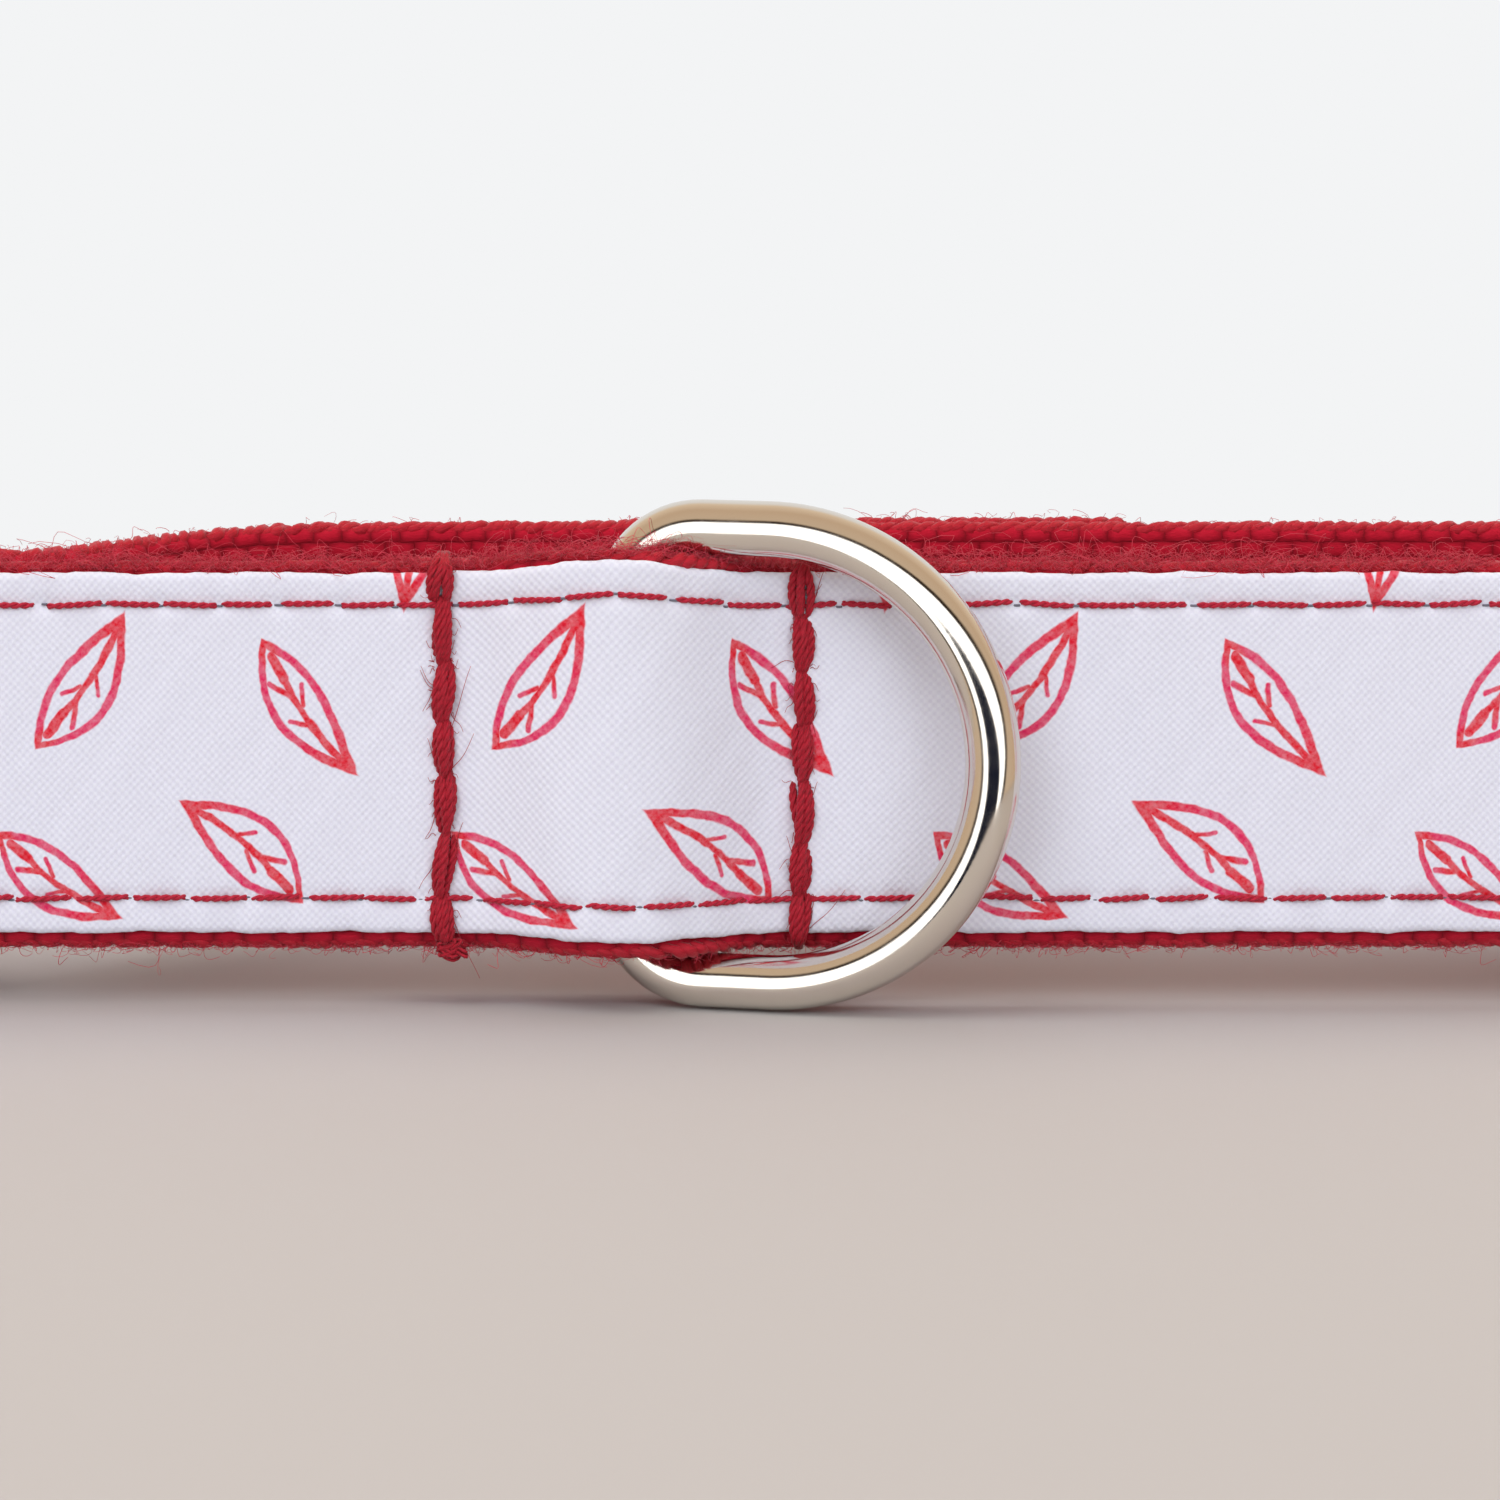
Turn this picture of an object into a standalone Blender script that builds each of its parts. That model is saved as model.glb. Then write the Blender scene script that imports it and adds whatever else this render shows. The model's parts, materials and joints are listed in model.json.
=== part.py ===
"""Martingale collar: a printed webbing neck strap, two welded rings, a control loop with a leash D-ring and a slider.

Plan view: X along the collar, +Y away from the printed front of the control loop, +Z up. The straps stand on edge
and the hardware stands on z = 0. Lengths below are in millimetres and are scaled to metres when points are made.
"""

import math

import bmesh
import bpy
from mathutils import Matrix, Vector

MM = 0.001
COLLECTION_NAME = "martingale_collar"
CUTTER_COLLECTION = "cutters"

# Straps
GAP = 0.3  # clearance that touching solids keep
WEBBING_THICK = 2.1
WEBBING_WIDTH = 24.8
PRINT_THICK = 0.4
PRINT_WIDTH = 23.0
PRINT_NEAR = WEBBING_THICK + GAP  # from the webbing's inner face to the print's back
PRINT_FAR = PRINT_NEAR + PRINT_THICK
CHORD_ERROR = 0.04  # how far a straight facet may leave the smooth strap line

# Hardware: every ring stands on z = 0 and is as tall as its neighbours
WIRE = 3.5
RING_INNER_HEIGHT = 25.4
RING_HEIGHT = RING_INNER_HEIGHT + 2 * WIRE
STRAP_Z = RING_HEIGHT / 2  # height of every strap's centre line
LIMB_Z = (RING_INNER_HEIGHT + WIRE) / 2  # centre line of a ring's limbs, from STRAP_Z
WIRE_SIDES_RESOLUTION = 4

# Leash D-ring: straight bar in the tunnel, two short limbs and a half-round end
D_RING_BAR = (0.0, 1.05)
D_RING_REACH = 24.0  # bar centre to the centre of the arc's wire
D_RING_CORNER = 5.25
D_RING_TILT = math.radians(-14)

# Rectangular neck rings: one bar in the control loop's fold, one in the neck strap's end
RING_REACH = 15.5
RING_CORNER = 2.3
RING_SPREAD = math.radians(18)
FOLD_CENTRE = (-47.0, 7.2)
FOLD_RADIUS = 4.4
BAR_PITCH = 4.1  # between the two bars that lie side by side in the fold

# Control loop, the line of the webbing's inner face
FRONT_Y = WEBBING_THICK + GAP + PRINT_THICK
BACK_Y = 23.2
TURN_X = 59.5
FLAT_START_X = 30.0  # the flat stretch beyond the D-ring
FLAT_RECEDE = 0.25  # how far the front goes back from there to the free turn
TUNNEL_HALF = 10.0
TUNNEL_HEIGHT = 3.8
CLOSURE_START_X = 8.0
CLOSURE_END_X = 34.0
CLOSURE_STITCHES_X = (12.5, 30.0)
NOTCH_HALF_LENGTH = 5.0
NOTCH_HALF_WIDTH = 10.2
TAB_HALF_LENGTH = 14.0

# Stitch rows: heavy vertical rows of thread, modelled as rods on the print
ROW_X = 11.2
ROW_RADIUS = 0.7
ROW_HALF_HEIGHT = 12.2
END_ROW_RADIUS = 0.5

# Neck strap
ARM_ANGLE = math.radians(22)
ARM_LENGTH = 80.0
WRAP_RADIUS = WIRE / 2 + GAP
FRONT_TAB_LENGTH = 27.0
FRONT_STITCHES = (13.0, 24.0)
RETURN_LENGTH = 30.5

# Slider: a bent plate with two windows; t runs towards the rear ring from the slider's middle
SLIDER_FROM_RING = 54.0
SLIDER_THICK = 1.6
SLIDER_HALF_LENGTH = 12.5
SLIDER_SHOULDER = 9.3
SLIDER_BAR_HALF = 2.6
SLIDER_BEND = 3.5  # where the plate starts to rise from its middle bar
SLIDER_BAR_DEPTH = -3.5
WINDOW_END = 9.5
FLAP_LENGTH = 36.0
FLAP_TURN = 9.6
FLAP_STITCH = 7.0

NICKEL = ("nickel", (0.72, 0.68, 0.62, 1), 1.0, 0.18)
RED_WEBBING = ("red_webbing", (0.50, 0.012, 0.035, 1), 0.0, 0.85)
PRINT_CLOTH = ("printed_cotton", (0.84, 0.80, 0.86, 1), 0.0, 0.8)
THREAD = ("crimson_thread", (0.55, 0.015, 0.045, 1), 0.0, 0.6)


def clear_scene():
    for old in list(bpy.data.objects):
        bpy.data.objects.remove(old, do_unlink=True)


def new_collection(name):
    group = bpy.data.collections.new(name)
    bpy.context.scene.collection.children.link(group)
    return group


def new_material(name, colour, metallic, roughness):
    material = bpy.data.materials.new(name)
    material.use_nodes = True
    shader = material.node_tree.nodes["Principled BSDF"]
    shader.inputs["Base Color"].default_value = colour
    shader.inputs["Metallic"].default_value = metallic
    shader.inputs["Roughness"].default_value = roughness
    return material


def arc(centre, radius, start, end, steps):
    """Points on a circle from angle start to angle end, in radians."""
    turn = (end - start) / steps
    return [
        Vector((centre[0] + radius * math.cos(start + i * turn), centre[1] + radius * math.sin(start + i * turn)))
        for i in range(steps + 1)
    ]


def smooth(points, samples=24):
    """A Catmull-Rom curve through the points."""
    points = [Vector(p) for p in points]
    ends = [2 * points[0] - points[1]] + points + [2 * points[-1] - points[-2]]
    curve = [points[0]]
    for a, b, c, d in zip(ends, ends[1:], ends[2:], ends[3:]):
        for i in range(1, samples + 1):
            t = i / samples
            curve.append(
                0.5 * (2 * b + (c - a) * t + (2 * a - 5 * b + 4 * c - d) * t**2 + (3 * b - a - 3 * c + d) * t**3)
            )
    return curve


def simplify(points, error=CHORD_ERROR):
    """Keeps only the points that the line needs to stay within the error."""
    first, last = points[0], points[-1]
    chord = last - first
    length = chord.length
    across = Vector((-chord.y, chord.x)) / length if length > 1e-9 else None
    gaps = [abs((p - first).dot(across)) if across else (p - first).length for p in points[1:-1]]
    if not gaps or max(gaps) < error:
        return [first, last]
    split = gaps.index(max(gaps)) + 1
    return simplify(points[: split + 1], error)[:-1] + simplify(points[split:], error)


def offset(points, distance):
    """The line moved to its left by the distance, with mitred corners."""
    moved = []
    for i, point in enumerate(points):
        before = (point - points[i - 1]).normalized() if i > 0 else None
        after = (points[i + 1] - point).normalized() if i + 1 < len(points) else None
        before, after = before or after, after or before
        left = Vector((-before.y - after.y, before.x + after.x)).normalized()
        moved.append(point + left * distance / max(left.dot(Vector((-after.y, after.x))), 0.5))
    return moved


def to_origin(obj, pivot):
    """Moves the object's origin to the pivot and leaves its shape where it is."""
    shift = Vector((pivot[0] * MM, pivot[1] * MM, STRAP_Z * MM))
    obj.data.transform(Matrix.Translation(-shift) @ obj.matrix_basis)
    obj.matrix_basis = Matrix.Translation(shift)


def strap(name, path, near, far, width, material, group, parent):
    """A band between two offsets of a plan line, standing on edge: an outline extruded by half its width."""
    outline = offset(path, near) + offset(path, far)[::-1]
    curve = bpy.data.curves.new(name, "CURVE")
    curve.dimensions = "2D"
    curve.fill_mode = "BOTH"
    curve.extrude = width / 2 * MM
    spline = curve.splines.new("POLY")
    spline.points.add(len(outline) - 1)
    for spot, point in zip(spline.points, outline):
        spot.co = (point.x * MM, point.y * MM, 0, 1)
    spline.use_cyclic_u = True
    curve.materials.append(material)
    obj = bpy.data.objects.new(name, curve)
    obj.location.z = STRAP_Z * MM
    obj.parent = parent
    group.objects.link(obj)
    return obj


def wire_ring(name, outline, pivot, turn, material, group, parent):
    """A closed wire: the outline is (reach from the pivot bar, height), turned about the pivot."""
    curve = bpy.data.curves.new(name, "CURVE")
    curve.dimensions = "3D"
    curve.bevel_depth = WIRE / 2 * MM
    curve.bevel_resolution = WIRE_SIDES_RESOLUTION
    spline = curve.splines.new("POLY")
    spline.points.add(len(outline) - 1)
    for spot, point in zip(spline.points, outline):
        spot.co = (point[0] * MM, 0, point[1] * MM, 1)
    spline.use_cyclic_u = True
    spline.use_smooth = True
    curve.materials.append(material)
    obj = bpy.data.objects.new(name, curve)
    obj.location = (pivot[0] * MM, pivot[1] * MM, STRAP_Z * MM)
    obj.rotation_euler.z = turn
    obj.parent = parent
    group.objects.link(obj)
    return obj


def stitch_row(name, place, radius, material, group, parent):
    """A heavy row of thread across the strap, as an upright rod with closed ends."""
    curve = bpy.data.curves.new(name, "CURVE")
    curve.dimensions = "3D"
    curve.bevel_depth = radius * MM
    curve.bevel_resolution = 2
    curve.use_fill_caps = True
    spline = curve.splines.new("POLY")
    spline.points.add(1)
    spline.points[0].co = (0, 0, -ROW_HALF_HEIGHT * MM, 1)
    spline.points[1].co = (0, 0, ROW_HALF_HEIGHT * MM, 1)
    curve.materials.append(material)
    obj = bpy.data.objects.new(name, curve)
    obj.location = (place[0] * MM, place[1] * MM, STRAP_Z * MM)
    obj.parent = parent
    group.objects.link(obj)
    return obj


def as_mesh(obj, group):
    """The curve as a mesh with its caps welded, so that a Boolean can cut it."""
    bpy.context.view_layer.update()
    mesh = bpy.data.meshes.new_from_object(obj.evaluated_get(bpy.context.evaluated_depsgraph_get()))
    work = bmesh.new()
    work.from_mesh(mesh)
    bmesh.ops.remove_doubles(work, verts=work.verts, dist=0.000001)
    bmesh.ops.recalc_face_normals(work, faces=work.faces)
    work.to_mesh(mesh)
    work.free()
    name = obj.name
    parent = obj.parent
    basis = obj.matrix_basis.copy()
    bpy.data.objects.remove(obj, do_unlink=True)
    solid = bpy.data.objects.new(name, mesh)
    solid.parent = parent
    solid.matrix_basis = basis
    group.objects.link(solid)
    return solid


def cut_box(target, name, centre, size, turn, cutters, parent):
    """Takes a box out of the target."""
    bpy.ops.mesh.primitive_cube_add(size=1)
    box = bpy.context.object
    box.name = name
    box.scale = [length * MM for length in size]
    box.location = [length * MM for length in centre]
    box.rotation_euler.z = turn
    box.parent = parent
    box.hide_render = True
    box.display_type = "WIRE"
    for old in list(box.users_collection):
        old.objects.unlink(box)
    cutters.objects.link(box)
    cut = target.modifiers.new(name, "BOOLEAN")
    cut.operation = "DIFFERENCE"
    cut.object = box


def tunnel_line(from_x, to_x, samples=60):
    """The front line where it rises over the D-ring's bar."""
    line = []
    for i in range(samples + 1):
        x = from_x + (to_x - from_x) * i / samples
        rise = 0.5 * (1 + math.cos(math.pi * x / TUNNEL_HALF)) if abs(x) < TUNNEL_HALF else 0
        line.append(Vector((x, FRONT_Y - TUNNEL_HEIGHT * rise)))
    return line


def front_line():
    """The printed front, from the free turn on the right to the fold on the left."""
    flat = [Vector((TURN_X, FRONT_Y + FLAT_RECEDE)), Vector((FLAT_START_X, FRONT_Y))]
    to_fold = [Vector((FOLD_CENTRE[0], FOLD_CENTRE[1] - FOLD_RADIUS))]
    return flat + tunnel_line(TUNNEL_HALF + 0.6, -TUNNEL_HALF - 0.6) + to_fold


def back_line(from_x, to_x):
    """The plain back, from left to right between two stations: it nears the front beside the fold, then opens out."""
    fold_y = FOLD_CENTRE[1] + FOLD_RADIUS
    whole = smooth(
        [(FOLD_CENTRE[0], fold_y), (-44.5, 10.7), (-42.4, 8.5), (-39.6, 7.1), (-36.6, 8.1), (-33.8, 11.2)]
        + [(-30.2, 15.7), (-26.2, 19.8), (-20.5, 22.5), (-12, BACK_Y), (0, BACK_Y), (20, BACK_Y), (40, BACK_Y)]
        + [(TURN_X, BACK_Y)]
    )
    return [p for p in whole if from_x <= p.x <= to_x]


def control_loop_paths():
    """The webbing's line, with its overlapped closure, and the print's line, which stops at the closure's end."""
    turn_radius = (BACK_Y - FRONT_Y - FLAT_RECEDE) / 2
    turn = arc((TURN_X, BACK_Y - turn_radius), turn_radius, math.pi / 2, -math.pi / 2, 60)
    fold = arc(FOLD_CENTRE, FOLD_RADIUS, -math.pi / 2, -1.5 * math.pi, 40)
    step = WEBBING_THICK + GAP
    jog = []
    for point in back_line(FOLD_CENTRE[0] + 0.1, CLOSURE_END_X):
        share = min(max((point.x + 6) / (CLOSURE_START_X + 5), 0), 1)
        jog.append(Vector((point.x, point.y + step * share**2 * (3 - 2 * share))))
    around = turn[1:-1] + front_line() + fold[1:] + jog
    webbing = back_line(CLOSURE_START_X, TURN_X) + around
    printed = back_line(CLOSURE_END_X + 2, TURN_X) + around
    return simplify(webbing), simplify(printed)


def arm_point(bar, side, s, n):
    """A point s along a neck arm from its ring bar and n outwards; side is -1 for the front arm and 1 for the rear."""
    along = Vector((-math.cos(ARM_ANGLE), side * math.sin(ARM_ANGLE)))
    out = Vector((math.sin(ARM_ANGLE), side * math.cos(ARM_ANGLE)))
    return Vector(bar) + along * s + out * n


def ring_bars(side):
    """The fold bar and the neck bar of one ring."""
    fold_bar = Vector((FOLD_CENTRE[0], FOLD_CENTRE[1] + side * BAR_PITCH / 2))
    neck_bar = fold_bar + RING_REACH * Vector((-math.cos(RING_SPREAD), side * math.sin(RING_SPREAD)))
    return fold_bar, neck_bar


def wrap(bar, side):
    """The half turn of strap round a neck bar, clockwise in plan."""
    start = ARM_ANGLE + math.pi / 2 if side < 0 else math.pi / 2 - ARM_ANGLE
    return arc(bar, WRAP_RADIUS, start, start - math.pi, 30)


def neck_path():
    """The neck strap's line: front tab, wrap, front arm, closing curve, rear arm, wrap and return."""
    front_bar, rear_bar = ring_bars(-1)[1], ring_bars(1)[1]
    lap = WRAP_RADIUS - GAP
    tab = [(FRONT_TAB_LENGTH, lap), (20, lap), (13, lap), (8.5, 1.0), (4.0, -1.2), (0, -WRAP_RADIUS)]
    path = smooth([arm_point(front_bar, -1, s, n) for s, n in tab])
    path += wrap(front_bar, -1)[1:]
    start = arm_point(front_bar, -1, ARM_LENGTH, WRAP_RADIUS)
    radius = (FOLD_CENTRE[1] - start.y) / math.cos(ARM_ANGLE)
    centre = (start.x - radius * math.sin(ARM_ANGLE), FOLD_CENTRE[1])
    path += arc(centre, radius, ARM_ANGLE - math.pi / 2, -1.5 * math.pi - ARM_ANGLE, 90)
    path += wrap(rear_bar, 1)
    path.append(arm_point(rear_bar, 1, RETURN_LENGTH, -WRAP_RADIUS))
    return simplify(path)


def neck_print_path(path):
    """The print covers the neck line from the front wrap to just past the rear wrap."""
    front_bar, rear_bar = ring_bars(-1)[1], ring_bars(1)[1]
    first = min(range(len(path)), key=lambda i: (path[i] - wrap(front_bar, -1)[0]).length)
    last = max(i for i in range(len(path) - 1) if (path[i] - rear_bar).length < WRAP_RADIUS + 0.2)
    return path[first : last + 1]


def slider_point(rear_bar, t, n):
    """A point t towards the ring from the slider's middle and n outwards from the strap's inner face."""
    return arm_point(rear_bar, 1, SLIDER_FROM_RING - t, WRAP_RADIUS + n)


def make_d_ring(material, group, parent):
    straight = LIMB_Z - D_RING_CORNER
    bend = D_RING_REACH - LIMB_Z
    outline = arc((D_RING_CORNER, straight), D_RING_CORNER, math.pi, math.pi / 2, 6)
    outline += arc((bend, 0), LIMB_Z, math.pi / 2, -math.pi / 2, 24)
    outline += arc((D_RING_CORNER, -straight), D_RING_CORNER, -math.pi / 2, -math.pi, 6)
    return wire_ring("d_ring", outline, D_RING_BAR, D_RING_TILT, material, group, parent)


def make_neck_ring(name, side, material, group, parent):
    bar = ring_bars(side)[1]
    high = LIMB_Z - RING_CORNER
    far = RING_REACH - RING_CORNER
    outline = arc((RING_CORNER, high), RING_CORNER, math.pi, math.pi / 2, 4)
    outline += arc((far, high), RING_CORNER, math.pi / 2, 0, 4)
    outline += arc((far, -high), RING_CORNER, 0, -math.pi / 2, 4)
    outline += arc((RING_CORNER, -high), RING_CORNER, -math.pi / 2, -math.pi, 4)
    return wire_ring(name, outline, bar, -side * RING_SPREAD, material, group, parent)


def make_control_loop(materials, group, cutters, frame):
    webbing_path, print_path = control_loop_paths()
    fold_bar = ring_bars(-1)[0]
    webbing = strap("control_loop_webbing", webbing_path, 0, WEBBING_THICK, WEBBING_WIDTH, materials["red"], group, frame)
    to_origin(webbing, fold_bar)
    webbing = as_mesh(webbing, group)
    notch_height = WEBBING_WIDTH / 2 + 1 - NOTCH_HALF_WIDTH
    for name, up in (("tunnel_notch_top", 1), ("tunnel_notch_bottom", -1)):
        height = STRAP_Z + up * (NOTCH_HALF_WIDTH + notch_height / 2)
        size = (2 * NOTCH_HALF_LENGTH, 9.0, notch_height)
        cut_box(webbing, name, (0, -0.6, height), size, 0, cutters, frame)
    printed = strap(
        "control_loop_print", print_path, PRINT_NEAR, PRINT_FAR, PRINT_WIDTH, materials["print"], group, frame
    )
    to_origin(printed, fold_bar)
    tab_y = FRONT_Y + GAP
    tab_line = [Vector((-TAB_HALF_LENGTH, tab_y)), Vector((TAB_HALF_LENGTH, tab_y))]
    tab = strap("d_ring_backing_tab", tab_line, 0, WEBBING_THICK, WEBBING_WIDTH, materials["red"], group, frame)
    to_origin(tab, fold_bar)
    for name, x in (("d_ring_stitch_left", -ROW_X), ("d_ring_stitch_right", ROW_X)):
        stitch_row(name, (x, -GAP - ROW_RADIUS), ROW_RADIUS, materials["thread"], group, frame)
    closure_y = BACK_Y + WEBBING_THICK + GAP + PRINT_FAR + GAP + END_ROW_RADIUS
    for name, x in zip(("loop_closure_stitch_left", "loop_closure_stitch_right"), CLOSURE_STITCHES_X):
        stitch_row(name, (x, closure_y), END_ROW_RADIUS, materials["thread"], group, frame)


def make_neck(materials, group, frame):
    path = neck_path()
    strap("neck_webbing", path, 0, WEBBING_THICK, WEBBING_WIDTH, materials["red"], group, frame)
    strap("neck_print", neck_print_path(path), PRINT_NEAR, PRINT_FAR, PRINT_WIDTH, materials["print"], group, frame)
    front_bar = ring_bars(-1)[1]
    proud = WRAP_RADIUS + PRINT_FAR + GAP + END_ROW_RADIUS
    for name, s in zip(("neck_end_stitch_near", "neck_end_stitch_far"), FRONT_STITCHES):
        stitch_row(name, arm_point(front_bar, -1, s, proud), END_ROW_RADIUS, materials["thread"], group, frame)


def make_slider(materials, group, cutters, frame):
    rear_bar = ring_bars(1)[1]
    middle = slider_point(rear_bar, 0, SLIDER_BAR_DEPTH)
    low = WEBBING_THICK + GAP + PRINT_THICK + GAP
    profile = [(-SLIDER_HALF_LENGTH, low), (-SLIDER_SHOULDER, low)]
    bar_low = SLIDER_BAR_DEPTH - SLIDER_THICK / 2
    profile += [(-SLIDER_BEND, bar_low), (SLIDER_BEND, bar_low)]
    profile += [(SLIDER_SHOULDER, low), (SLIDER_HALF_LENGTH, low)]
    line = [slider_point(rear_bar, t, n) for t, n in profile]
    frame_plate = strap("slider", line, 0, SLIDER_THICK, RING_HEIGHT, materials["nickel"], group, frame)
    to_origin(frame_plate, middle)
    frame_plate = as_mesh(frame_plate, group)
    window = WINDOW_END - SLIDER_BAR_HALF
    for name, end in (("slider_window_far", -1), ("slider_window_near", 1)):
        spot = slider_point(rear_bar, end * (SLIDER_BAR_HALF + window / 2), 0)
        size = (window, 20.0, RING_INNER_HEIGHT)
        cut_box(frame_plate, name, (spot.x, spot.y, STRAP_Z), size, -ARM_ANGLE, cutters, frame)
    ease = SLIDER_THICK / 2 + GAP
    top = SLIDER_BAR_DEPTH + ease
    bottom = SLIDER_BAR_DEPTH - ease
    turn_t = -SLIDER_BAR_HALF + GAP
    under = smooth([(FLAP_TURN, -WEBBING_THICK - 2 * GAP), (6.5, -3.6), (3, bottom + 0.05), (0, bottom), (turn_t, bottom)])
    local = [(p.x, p.y) for p in under]
    local += [(p.x, p.y) for p in arc((turn_t, SLIDER_BAR_DEPTH), ease, -math.pi / 2, -1.5 * math.pi, 20)][1:]
    local.append((FLAP_LENGTH, top))
    flap_line = simplify([slider_point(rear_bar, t, n) for t, n in local])
    flap = strap("slider_end_webbing", flap_line, 0, WEBBING_THICK, WEBBING_WIDTH, materials["red"], group, frame)
    to_origin(flap, middle)
    spot = slider_point(rear_bar, FLAP_STITCH, -3.8 - WEBBING_THICK - GAP - END_ROW_RADIUS)
    stitch_row("slider_end_stitch", spot, END_ROW_RADIUS, materials["thread"], group, frame)


def centre_footprint(frame, group):
    """Moves the whole collar so that the origin is under the middle of its box."""
    bpy.context.view_layer.update()
    depsgraph = bpy.context.evaluated_depsgraph_get()
    spots = []
    for obj in group.objects:
        if obj.type != "EMPTY":
            solid = obj.evaluated_get(depsgraph)
            spots += [solid.matrix_world @ vertex.co for vertex in solid.to_mesh().vertices]
            solid.to_mesh_clear()
    for axis in (0, 1):
        values = [spot[axis] for spot in spots]
        frame.location[axis] = -(min(values) + max(values)) / 2
    frame.location[2] = -min(spot[2] for spot in spots)
    bpy.context.view_layer.update()


def main():
    clear_scene()
    group = new_collection(COLLECTION_NAME)
    cutters = new_collection(CUTTER_COLLECTION)
    materials = {
        "red": new_material(*RED_WEBBING),
        "print": new_material(*PRINT_CLOTH),
        "thread": new_material(*THREAD),
        "nickel": new_material(*NICKEL),
    }
    frame = bpy.data.objects.new("collar_frame", None)
    group.objects.link(frame)
    make_control_loop(materials, group, cutters, frame)
    make_d_ring(materials["nickel"], group, frame)
    make_neck_ring("neck_ring_front", -1, materials["nickel"], group, frame)
    make_neck_ring("neck_ring_rear", 1, materials["nickel"], group, frame)
    make_neck(materials, group, frame)
    make_slider(materials, group, cutters, frame)
    centre_footprint(frame, group)


main()
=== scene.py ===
"""Looks of the martingale collar: woven straps, printed cotton, stitching and polished rings."""

import json
import math

import bpy
import numpy as np
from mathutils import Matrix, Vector


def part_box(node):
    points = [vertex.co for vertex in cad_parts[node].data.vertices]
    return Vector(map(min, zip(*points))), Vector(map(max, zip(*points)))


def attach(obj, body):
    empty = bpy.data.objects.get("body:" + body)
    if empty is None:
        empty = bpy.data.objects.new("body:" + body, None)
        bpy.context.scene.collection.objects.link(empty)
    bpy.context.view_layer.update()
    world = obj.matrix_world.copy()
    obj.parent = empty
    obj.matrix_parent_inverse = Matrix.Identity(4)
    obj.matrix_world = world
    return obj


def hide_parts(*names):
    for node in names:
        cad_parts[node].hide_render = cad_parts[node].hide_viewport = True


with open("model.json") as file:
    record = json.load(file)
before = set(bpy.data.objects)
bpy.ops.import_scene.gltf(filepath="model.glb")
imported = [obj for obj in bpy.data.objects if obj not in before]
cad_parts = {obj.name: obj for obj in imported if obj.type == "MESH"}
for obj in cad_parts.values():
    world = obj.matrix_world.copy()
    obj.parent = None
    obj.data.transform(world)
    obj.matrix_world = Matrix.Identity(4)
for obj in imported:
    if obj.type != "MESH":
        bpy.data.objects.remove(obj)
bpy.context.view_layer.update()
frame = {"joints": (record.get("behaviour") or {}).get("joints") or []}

MM = 0.001

# -------- dimensions, in millimetres

GAP = 0.3
WEBBING_THICK = 2.1
WEBBING_WIDTH = (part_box("neck_webbing")[1].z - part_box("neck_webbing")[0].z) / MM
PRINT_WIDTH = (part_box("neck_print")[1].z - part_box("neck_print")[0].z) / MM
STRAP_Z = (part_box("neck_webbing")[1].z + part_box("neck_webbing")[0].z) / 2 / MM
PRINT_NEAR = WEBBING_THICK + 0.05
PRINT_FAR = WEBBING_THICK + GAP + 0.4
RING_HEIGHT = (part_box("d_ring")[1].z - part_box("d_ring")[0].z) / MM
WIRE = 3.5
LIMB_Z = (RING_HEIGHT - WIRE) / 2

# The plan's zero is on the D-ring's bar, at the printed face
JOINTS = {joint["name"]: joint for joint in frame["joints"]}
D_RING_BAR = (0.0, 1.05)
PLAN_X = JOINTS["leash_ring_flip"]["pos_m"][0] / MM - D_RING_BAR[0]
PLAN_Y = JOINTS["leash_ring_flip"]["pos_m"][1] / MM - D_RING_BAR[1]

D_RING_REACH = 24.0
D_RING_CORNER = 5.25
D_RING_TILT = math.radians(-14)
RING_REACH = 15.5
RING_CORNER = 2.3
RING_SPREAD = math.radians(18)
FOLD_CENTRE = (-47.0, 7.2)
FOLD_RADIUS = 4.4
BAR_PITCH = 4.1
FRONT_Y = 2.8
BACK_Y = 23.2
TURN_X = 59.5
FLAT_START_X = 30.0
FLAT_RECEDE = 0.25
TUNNEL_HALF = 10.0
TUNNEL_HEIGHT = 3.8
CLOSURE_START_X = 8.0
CLOSURE_END_X = 34.0
CLOSURE_STITCHES_X = (12.5, 30.0)
TAB_HALF_LENGTH = 14.0
ROW_X = 11.2
ARM_ANGLE = math.radians(22)
ARM_LENGTH = 80.0
WRAP_RADIUS = WIRE / 2 + GAP
FRONT_TAB_LENGTH = 27.0
FRONT_STITCHES = (13.0, 24.0)
RETURN_LENGTH = 30.5
SLIDER_FROM_RING = 54.0
SLIDER_THICK = 1.6
SLIDER_HALF_LENGTH = 12.5
SLIDER_SHOULDER = 9.3
SLIDER_BAR_HALF = 2.6
SLIDER_BEND = 3.5
SLIDER_BAR_DEPTH = -3.5
FLAP_LENGTH = 36.0
FLAP_TURN = 9.6
FLAP_STITCH = 7.0

# Sewing and print
ROW_TOP = 9.5
ROW_BOTTOM = -9.25
STITCH_PITCH = 3.7
STITCH_LENGTH = 3.52
PLY_RADIUS = 0.128
NICKEL_LEAN = 0.15  # the polish mirrors a little above the table
PRINT_REPEAT = 31.2
WEAVE_PITCH = 0.27
YARN_LENGTH = 1.9  # a webbing yarn's visible length
YARN_HEIGHT = 1.0
EASE = 0.55  # how much of the tunnel's extra length the print's repeat leaves out, each side
ROW_U = 11.9  # arc length from the tunnel's crest to its heavy rows
TUNNEL_STRETCH = 1.25
THIN_ROW = (0.24, 11.4, 0.0)  # spread, half length and flare of the rows away from the D-ring
BAND_DROP = 0.33  # the webbing sits this much low behind the cotton strip

# -------- plan lines


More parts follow.
